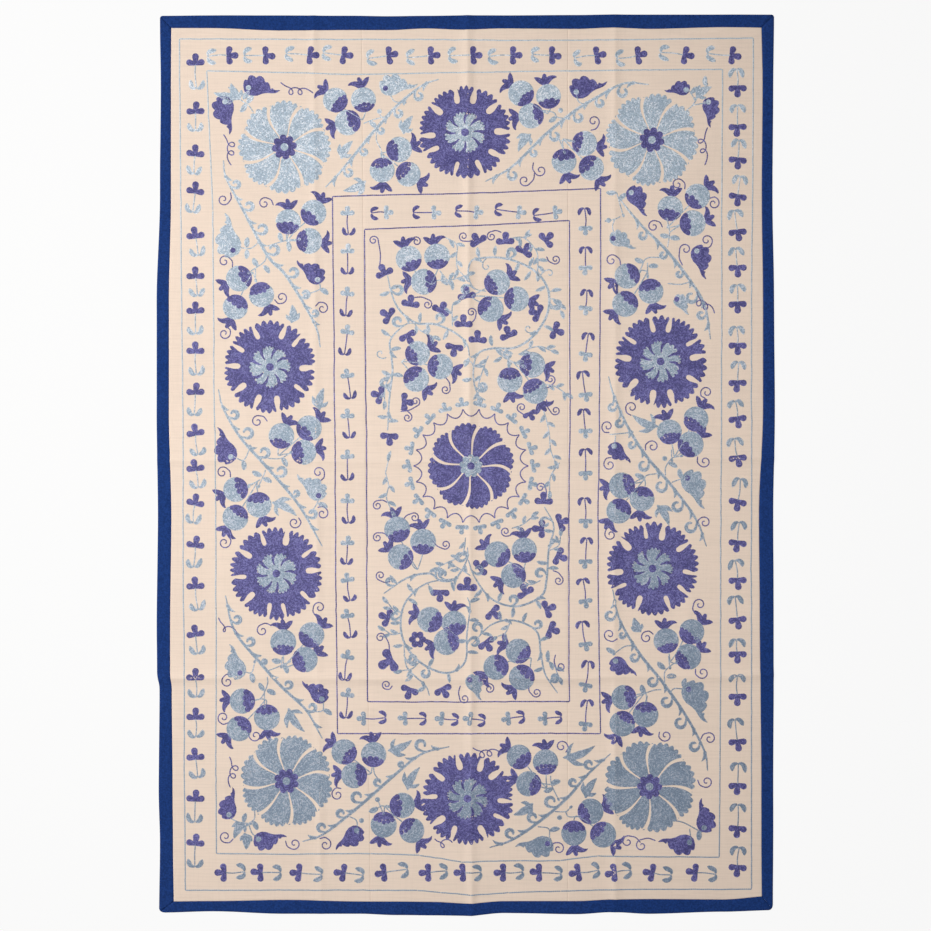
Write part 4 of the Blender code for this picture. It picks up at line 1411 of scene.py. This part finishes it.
def make_panel(name, left, right):
    """One loom width of cotton."""
    v_edge = SEAM_V - PARTING / 2
    seam_offsets = np.array([0.8, 1.8, 3.0]) * MM
    us = places_with_marks(left, right, 13 * MM, [crease.place for crease in UPRIGHT_CREASES], 4 * MM, 24 * MM)
    vs = places_with_marks(-v_edge, v_edge, 13 * MM, [crease.place for crease in CROSS_CREASES], 4 * MM, 24 * MM)
    us = np.unique(np.concatenate([us, left + seam_offsets, right - seam_offsets]))
    vs = np.unique(np.concatenate([vs, seam_offsets - v_edge, v_edge - seam_offsets]))
    u, v = np.meshgrid(us, vs, indexing="ij")
    x, y = on_outline(u.ravel(), v.ravel())
    under = underside(u.ravel(), v.ravel()).reshape(u.shape)
    edge = np.minimum(np.minimum(u - left, right - u), v_edge - np.abs(v))
    top = under + PANEL_THICKNESS - seam_dip(edge)
    piece = closed_sheet(name + "_cloth", x.reshape(u.shape), y.reshape(u.shape), top, under)
    finish_cloth(piece, "ground_cotton", name)
    return piece


# How high the binding stands across its width, from its seam to its outer edge
Profile = namedtuple("Profile", "share height")
BINDING_PROFILE = [
    Profile(0.0, 0.35), Profile(0.03, 0.72), Profile(0.08, 0.95), Profile(0.2, 1.05), Profile(0.4, 1.0),
    Profile(0.62, 0.98), Profile(0.8, 1.04), Profile(0.9, 1.0), Profile(0.96, 0.8), Profile(1.0, 0.4),
]


def make_binding(name, side):
    """One strip of the binding, mitred at both ends; side is left, right, bottom or top."""
    upright = side in ("left", "right")
    way = -1 if side in ("left", "bottom") else 1
    reach = EDGE_V if upright else EDGE_U
    inner_length, outer_length = (SEAM_V, EDGE_V) if upright else (SEAM_U, EDGE_U)
    inner, outer = (SEAM_U + PARTING / 2, EDGE_U) if upright else (SEAM_V + PARTING / 2, EDGE_V)
    shares = np.array([station.share for station in BINDING_PROFILE])
    heights = np.array([station.height for station in BINDING_PROFILE])
    along = np.linspace(-1, 1, int(2 * reach / (6 * MM)) + 1)
    share, t = np.meshgrid(shares, along, indexing="ij")
    length = inner_length + share * (outer_length - inner_length) - PARTING / 2
    a, b = way * (inner + share * (outer - inner)), t * length
    u, v = (a, b) if upright else (b, a)
    x, y = on_outline(u.ravel(), v.ravel())
    under = underside(u.ravel(), v.ravel()).reshape(u.shape)
    pucker = 0.22 * np.sin(b / (9 * MM) + 2 * np.sin(b / (41 * MM))) + 0.18 * np.sin(b / (23 * MM) + 1.3 * way)
    swell = np.interp(share, shares, heights) + pucker * 0.35 * np.sin(pi * np.clip(share, 0.02, 0.98))
    mitre = np.clip((length - np.abs(b)) / (3 * MM), 0, 1)
    top = under + BINDING_THICKNESS * swell * (0.72 + 0.28 * mitre ** 0.5)
    x, y = x.reshape(u.shape), y.reshape(u.shape)
    if (way < 0) == upright:
        x, y, top, under = x[:, ::-1], y[:, ::-1], top[:, ::-1], under[:, ::-1]
    piece = closed_sheet(name + "_cloth", x, y, top, under)
    finish_cloth(piece, "binding_cotton", name)
    return piece


# Laying out the motifs

EMBROIDERY = []


def new_baskets():
    return defaultdict(Basket)


def meeting_point(fruits):
    """Where the stems of a group of pomegranates meet, in millimetres: nearest to all the lines of their caps."""
    matrix, target = np.zeros((2, 2)), np.zeros(2)
    for f in fruits:
        way = np.array([cos(radians(f.cap)), sin(radians(f.cap))])
        cross = np.eye(2) - np.outer(way, way)
        matrix += cross
        target += cross @ millimetres(f.x, f.y)
    return np.linalg.solve(matrix, target)


def lay_fruits(baskets, name, fruits, seed):
    for k in range(0, len(fruits), 3):
        trio = fruits[k:k + 3]
        meeting = meeting_point(trio)
        for n, f in enumerate(trio):
            motif = Motif(seed + 7 * k + n)
            cap = radians(f.cap)
            crown_way = f.cap + 180 + motif.vary(12)
            crown(motif, *turned([(32, 0)], crown_way)[0], crown_way, motif.chance.random() < 0.25, 1.12)
            fruit(motif, f.cap, 31 + motif.vary(0.8))
            x, y = millimetres(f.x, f.y)
            rim = np.array([31 * cos(cap), 31 * sin(cap)])
            end = meeting - (x, y)
            if hypot(*(end - rim)) > 6:
                motif.row(BLUE, smooth_path([rim, (rim + end) / 2 + (motif.vary(2), motif.vary(2)), end]))
            work_motif(motif, x, y, baskets, name)


def work_at(motif, x, y, baskets, name):
    """Works a motif at a picture pixel."""
    work_motif(motif, *millimetres(x, y), baskets, name)


def region(x, y):
    """The part of the wide border that a picture pixel is in."""
    if y < 205:
        return "top"
    if y > 738:
        return "bottom"
    return "left" if x < PIXEL_MIDDLE_X else "right"


# Sizes and colours that a user may change

class SuzaniSizes(bpy.types.PropertyGroup):
    stitch_length: FloatProperty(name="Stitch length", description="Length of one link of chain stitch",
                                 default=5.0 * MM, min=0.002, max=0.01, unit="LENGTH")
    row_width: FloatProperty(name="Row width", description="Width of one row of chain stitch",
                             default=3.0 * MM, min=0.001, max=0.006, unit="LENGTH")
    row_height: FloatProperty(name="Row height", description="How far a row stands above the cloth",
                              default=0.9 * MM, min=0.0002, max=0.003, unit="LENGTH")
    shortest_row: FloatProperty(name="Shortest row", description="Rows shorter than this are left out",
                                default=6 * MM, min=0.0, max=0.05, unit="LENGTH")


class SuzaniColours(bpy.types.PropertyGroup):
    cotton: FloatVectorProperty(name="Ground cotton", description="Colour of the cream ground",
                                default=(0.86, 0.71, 0.60), subtype="COLOR", min=0, max=1)
    binding: FloatVectorProperty(name="Binding", description="Colour of the blue binding",
                                 default=(0.0125, 0.043, 0.188), subtype="COLOR", min=0, max=1)
    violet: FloatVectorProperty(name="Violet thread", description="Colour of the violet silk",
                                default=(0.106, 0.091, 0.315), subtype="COLOR", min=0, max=1)
    pale_blue: FloatVectorProperty(name="Pale blue thread", description="Colour of the pale blue silk",
                                   default=(0.48, 0.59, 0.70), subtype="COLOR", min=0, max=1)


class SUZANI_OT_finishes(bpy.types.Operator):
    """Makes the finishes of cotton, binding and silks"""
    bl_idname = "suzani.finishes"
    bl_label = "Make finishes"

    def execute(self, context):
        colours = context.scene.suzani_colours
        cotton_finish(colours)
        binding_finish(colours)
        silk_finish("violet_thread", colours.violet, (0.050, 0.048, 0.195), (0.20, 0.20, 0.49))
        # The last colour given to each pale silk is its painted shade tint towards the foot and the right of the cloth.
        silk_finish("pale_blue_line", (0.50, 0.60, 0.69), (0.42, 0.53, 0.64), (0.58, 0.67, 0.75), (0.56, 0.6, 0.68))
        silk_finish("pale_blue_thread", colours.pale_blue, (0.34, 0.43, 0.54), (0.86, 0.88, 0.94), (0.43, 0.47, 0.55))
        return {"FINISHED"}


class SUZANI_OT_panels(bpy.types.Operator):
    """Makes the three loom widths of cream cotton"""
    bl_idname = "suzani.panels"
    bl_label = "Make cotton panels"

    def execute(self, context):
        half = PARTING / 2
        make_panel("panel_left", -SEAM_U + half, LEFT_PANEL_SEAM_U - half)
        make_panel("panel_centre", LEFT_PANEL_SEAM_U + half, RIGHT_PANEL_SEAM_U - half)
        make_panel("panel_right", RIGHT_PANEL_SEAM_U + half, SEAM_U - half)
        return {"FINISHED"}


class SUZANI_OT_binding(bpy.types.Operator):
    """Makes the four mitred strips of the blue binding"""
    bl_idname = "suzani.binding"
    bl_label = "Make binding"

    def execute(self, context):
        for side in ("left", "right", "bottom", "top"):
            make_binding("binding_" + side, side)
        return {"FINISHED"}


class SUZANI_OT_rosettes(bpy.types.Operator):
    """Works the eleven large rosettes"""
    bl_idname = "suzani.rosettes"
    bl_label = "Work rosettes"

    def execute(self, context):
        baskets = new_baskets()
        for seed, rosette in enumerate(ROSETTES):
            work_motif(rosette.kind(seed + 3), *millimetres(rosette.x, rosette.y), baskets, rosette.name)
        stitch_all(baskets)
        return {"FINISHED"}


class SUZANI_OT_pomegranates(bpy.types.Operator):
    """Works the pomegranates, three by three"""
    bl_idname = "suzani.pomegranates"
    bl_label = "Work pomegranates"

    def execute(self, context):
        baskets = new_baskets()
        for seed, (region, fruits) in enumerate(FRUITS.items()):
            lay_fruits(baskets, "pomegranates_" + region, fruits, 100 * seed)
        stitch_all(baskets)
        return {"FINISHED"}


class SUZANI_OT_borders(bpy.types.Operator):
    """Works the four single border lines and the sprigs between them"""
    bl_idname = "suzani.borders"
    bl_label = "Work border lines and sprigs"

    def execute(self, context):
        baskets = new_baskets()
        for line in BORDER_LINES:
            motif = Motif(len(line.name))
            corners = [millimetres(*corner) for corner in line.corners]
            for a, b in zip(corners, corners[1:] + corners[:1]):
                count = int(hypot(*(b - a)) / 12)
                share = np.linspace(0, 1, count + 1)[:, None]
                across = np.array([a[1] - b[1], b[0] - a[0]]) / hypot(*(b - a))
                wander = np.sin(pi * share) * np.cumsum(motif.chance.normal(0, 0.25, (count + 1, 1)), 0)
                wander = wander + motif.chance.normal(0, 0.22, (count + 1, 1))
                motif.row(line.thread, a + share * (b - a) + across * wander)
            work_motif(motif, 0, 0, baskets, line.name)
        for table in BORDER_SPRIGS:
            size = 1.0 if "outer" in table.name else 0.84
            for k, (flower, leaves) in enumerate(zip(table.flowers, table.leaves)):
                motif = Motif(k)
                upright = table.way in (90, -90)
                place = (table.line, flower) if upright else (flower, table.line)
                sprig(motif, table.way + motif.vary(9), abs(flower - leaves) * PIXEL / MM, table.flower,
                      table.stem, size)
                work_at(motif, *place, baskets, table.name)
        stitch_all(baskets)
        return {"FINISHED"}


class SUZANI_OT_vines(bpy.types.Operator):
    """Works the straight vines of the wide border and its buds"""
    bl_idname = "suzani.vines"
    bl_label = "Work border vines and buds"

    def execute(self, context):
        baskets = new_baskets()
        for seed, row in enumerate(VINES):
            motif = Motif(seed)
            points = [millimetres(*point) for point in row.points]
            scrolls = scrolls_at(points, [millimetres(*middle) for middle in row.scrolls])
            vine(motif, points, scrolls, thorns_between(motif, scrolls), BLUE, 3.5)
            work_motif(motif, 0, 0, baskets, row.name)
        for k, row in enumerate(BUDS):
            motif = Motif(k)
            bud(motif, row.way, row.thread, row.length * PIXEL / MM, row.flip)
            work_at(motif, row.x, row.y, baskets, "buds_" + region(row.x, row.y))
        stitch_all(baskets)
        return {"FINISHED"}


class SUZANI_OT_twigs(bpy.types.Operator):
    """Works the twigs, leaves, berries and tendrils between the vines"""
    bl_idname = "suzani.twigs"
    bl_label = "Work twigs and tendrils"

    def execute(self, context):
        baskets = new_baskets()
        motifs = {name: Motif(k) for k, name in enumerate(("top", "bottom", "left", "right"))}
        lines = [smooth_path([millimetres(*point) for point in twig]) for twig in TWIGS]
        for twig, line in zip(TWIGS, lines):
            motif = motifs[region(*twig[0])]
            motif.row(BLUE, line)
            leaf(motif, *line[-1], degrees(atan2(*(line[-1] - line[-2])[::-1])), BLUE, 10, 3.4)
        for middle in TWIG_LEAVES:
            leaf_off(motifs[region(*middle)], millimetres(*middle), lines, BLUE, 25, 6.4)
        for middle in BERRIES:
            motifs[region(*middle)].fill(BLUE, disc(*millimetres(*middle), 6.0))
        for row in SPRAYS:
            spray(motifs[region(row.x0, row.y0)], millimetres(row.x0, row.y0), millimetres(row.x1, row.y1), row.side,
                  BLUE)
        for row in BORDER_TENDRILS:
            tendril(motifs[region(row.x0, row.y0)], VIOLET, millimetres(row.x0, row.y0), millimetres(row.x1, row.y1),
                    row.turn, 1.2, 15.0)
        for row in CURLIES:
            curly_tendril(motifs[region(row.x0, row.y0)], VIOLET, millimetres(row.x0, row.y0),
                          millimetres(row.x1, row.y1), row.loops, row.side)
        for name, motif in motifs.items():
            work_motif(motif, 0, 0, baskets, "twigs_" + name)
        stitch_all(baskets)
        return {"FINISHED"}


class SUZANI_OT_centre(bpy.types.Operator):
    """Works the winding vines, fronds, small flowers and tendrils of the centre"""
    bl_idname = "suzani.centre"
    bl_label = "Work centre field"

    def execute(self, context):
        baskets = new_baskets()
        lines = []
        for seed, row in enumerate(WINDING_VINES):
            motif = Motif(40 + seed)
            points = [millimetres(*point) for point in row.points]
            lines.append(smooth_path(points))
            shares = (np.arange(row.decorations) + 0.5) / row.decorations
            scrolls = [(share, row.side, 16 + motif.vary(2)) for share in shares[::2]]
            thorns = [(share, -row.side, 17 + motif.vary(2)) for share in shares[1::2]]
            vine(motif, points, scrolls, thorns, BLUE, row.widest)
            work_motif(motif, 0, 0, baskets, "centre_vines")
        motif = Motif(5)
        for points in FRONDS:
            points = [millimetres(*point) for point in points]
            lines.append(smooth_path(points))
            frond(motif, BLUE, points)
        for middle in CENTRE_LEAVES:
            leaf_off(motif, millimetres(*middle), lines, BLUE)
        work_motif(motif, 0, 0, baskets, "centre_leaves")
        for k, row in enumerate(CLOVERS):
            motif = Motif(k)
            flower_of_three(motif, 0, 0, row.way, VIOLET, 1.3 * row.size, 1.15)
            work_at(motif, row.x, row.y, baskets, "centre_clovers")
        motif = Motif(9)
        motif.fill(VIOLET, trimmed(lobed_hub(21, 6, 7.6), disc(0, 0, 5)))
        work_at(motif, *SIX_PETALLED, baskets, "centre_clovers")
        motif = Motif(6)
        for row in CENTRE_TENDRILS:
            tendril(motif, VIOLET, millimetres(row.x0, row.y0), millimetres(row.x1, row.y1), row.turn)
        for row in CENTRE_CURLS:
            tendril(motif, BLUE, millimetres(row.x0, row.y0), millimetres(row.x1, row.y1), row.turn, 0.8, 10)
        work_motif(motif, 0, 0, baskets, "centre_tendrils")
        stitch_all(baskets)
        return {"FINISHED"}


class SUZANI_OT_lay_cloth(bpy.types.Operator):
    bl_idname = "suzani.lay_cloth"
    bl_label = "Declare cloth"

    def execute(self, context):
        widths = {"panel_left": SEAM_U + LEFT_PANEL_SEAM_U, "panel_centre": RIGHT_PANEL_SEAM_U - LEFT_PANEL_SEAM_U,
                  "panel_right": SEAM_U - RIGHT_PANEL_SEAM_U}
        on_panel = {name: [] for name in widths}
        for name in EMBROIDERY:
            places = np.empty(len(bpy.data.objects[name].data.vertices) * 3)
            bpy.data.objects[name].data.vertices.foreach_get("co", places)
            middle = places.reshape(-1, 3)[:, 0].mean()
            panel = "panel_left" if middle < LEFT_PANEL_SEAM_U else \
                "panel_right" if middle > RIGHT_PANEL_SEAM_U else "panel_centre"
            on_panel[panel].append(bpy.data.objects[name])
        for name, width in widths.items():
            bpy.data.objects[name + "_cloth"]
            on_panel[name]
        for side in ("left", "right", "bottom", "top"):
            bpy.data.objects[f"binding_{side}_cloth"]
        return {"FINISHED"}


class SUZANI_OT_stage(bpy.types.Operator):
    """Sets the pale floor, the soft light from the upper left and the camera straight above"""
    bl_idname = "suzani.stage"
    bl_label = "Set stage"

    def execute(self, context):
        scene = context.scene
        scene.view_settings.view_transform = "Standard"
        mesh = bpy.data.meshes.new("floor")
        corners = [(40.0 * x, 40.0 * y, -0.2 * MM) for x, y in ((-1, -1), (1, -1), (1, 1), (-1, 1))]
        mesh.from_pydata(corners, [], [(0, 1, 2, 3)])
        floor = bpy.data.objects.new("floor", mesh)
        scene.collection.objects.link(floor)
        material, tree, place = new_finish("floor")
        diffuse = tree.node("ShaderNodeBsdfDiffuse", {}, {"Color": (0.93, 0.93, 0.93, 1)})
        glow = tree.node("ShaderNodeEmission", {}, {"Color": (0.97, 0.97, 0.97, 1), "Strength": 1.0})
        shader = tree.node("ShaderNodeMixShader", {}, {"Fac": 0.9, 1: diffuse, 2: glow})
        tree.node("ShaderNodeOutputMaterial", {}, {"Surface": shader})
        mesh.materials.append(material)

        world = bpy.data.worlds.new("soft_room")
        scene.world = world
        world.use_nodes = True
        tree = Tree(world.node_tree)
        seen = tree.node("ShaderNodeLightPath").output("Is Camera Ray")
        room = tree.node("ShaderNodeBackground", {}, {"Color": (1.0, 0.99, 0.98, 1), "Strength": ROOM_LIGHT})
        beyond = tree.node("ShaderNodeBackground", {}, {"Color": (0.95, 0.95, 0.95, 1), "Strength": 1.0})
        shader = tree.node("ShaderNodeMixShader", {}, {"Fac": seen, 1: room, 2: beyond})
        tree.node("ShaderNodeOutputWorld", {}, {"Surface": shader})

        for name, place, size, watts in (("window_light", (-4.0, 1.5, 2.5), (2.4, 1.8), WINDOW_LIGHT),
                                         ("ceiling_light", (-0.4, 0.0, 2.6), (2.0, 2.0), CEILING_LIGHT)):
            light = bpy.data.lights.new(name, "AREA")
            light.shape = "RECTANGLE"
            light.size, light.size_y = size
            light.energy = watts
            light.color = (1.0, 0.985, 0.96)
            lamp = bpy.data.objects.new(name, light)
            lamp.location = place
            lamp.rotation_euler = (-lamp.location).to_track_quat("-Z", "Y").to_euler()
            scene.collection.objects.link(lamp)

        camera = bpy.data.cameras.new("camera")
        camera.lens = 85
        camera.clip_end = 100
        eye = bpy.data.objects.new("camera", camera)
        eye.location = (*at_pixel(465, 465), 931 * PIXEL * camera.lens / camera.sensor_width)
        scene.collection.objects.link(eye)
        scene.camera = eye
        return {"FINISHED"}


class SUZANI_PT_panel(bpy.types.Panel):
    bl_idname = "SUZANI_PT_panel"
    bl_label = "Suzani cover"
    bl_space_type = "VIEW_3D"
    bl_region_type = "UI"
    bl_category = "Suzani"

    def draw(self, context):
        for group in (context.scene.suzani_sizes, context.scene.suzani_colours):
            for name in group.__annotations__:
                self.layout.prop(group, name)
        for operator in OPERATORS:
            self.layout.operator(operator.bl_idname)


OPERATORS = [
    SUZANI_OT_finishes, SUZANI_OT_panels, SUZANI_OT_binding, SUZANI_OT_rosettes, SUZANI_OT_pomegranates,
    SUZANI_OT_borders, SUZANI_OT_vines, SUZANI_OT_twigs, SUZANI_OT_centre, SUZANI_OT_lay_cloth, SUZANI_OT_stage,
]
CLASSES = [SuzaniSizes, SuzaniColours, *OPERATORS, SUZANI_PT_panel]


def register():
    for cls in CLASSES:
        bpy.utils.register_class(cls)
    bpy.types.Scene.suzani_sizes = PointerProperty(type=SuzaniSizes)
    bpy.types.Scene.suzani_colours = PointerProperty(type=SuzaniColours)


def unregister():
    del bpy.types.Scene.suzani_sizes
    del bpy.types.Scene.suzani_colours
    for cls in reversed(CLASSES):
        bpy.utils.unregister_class(cls)


def make_suzani():
    """Makes the whole cover and its stage."""
    register()
    bpy.ops.suzani.finishes()
    bpy.ops.suzani.panels()
    bpy.ops.suzani.binding()
    bpy.ops.suzani.rosettes()
    bpy.ops.suzani.pomegranates()
    bpy.ops.suzani.borders()
    bpy.ops.suzani.vines()
    bpy.ops.suzani.twigs()
    bpy.ops.suzani.centre()
    bpy.ops.suzani.lay_cloth()
    bpy.ops.suzani.stage()


if __name__ == "__main__":
    make_suzani()
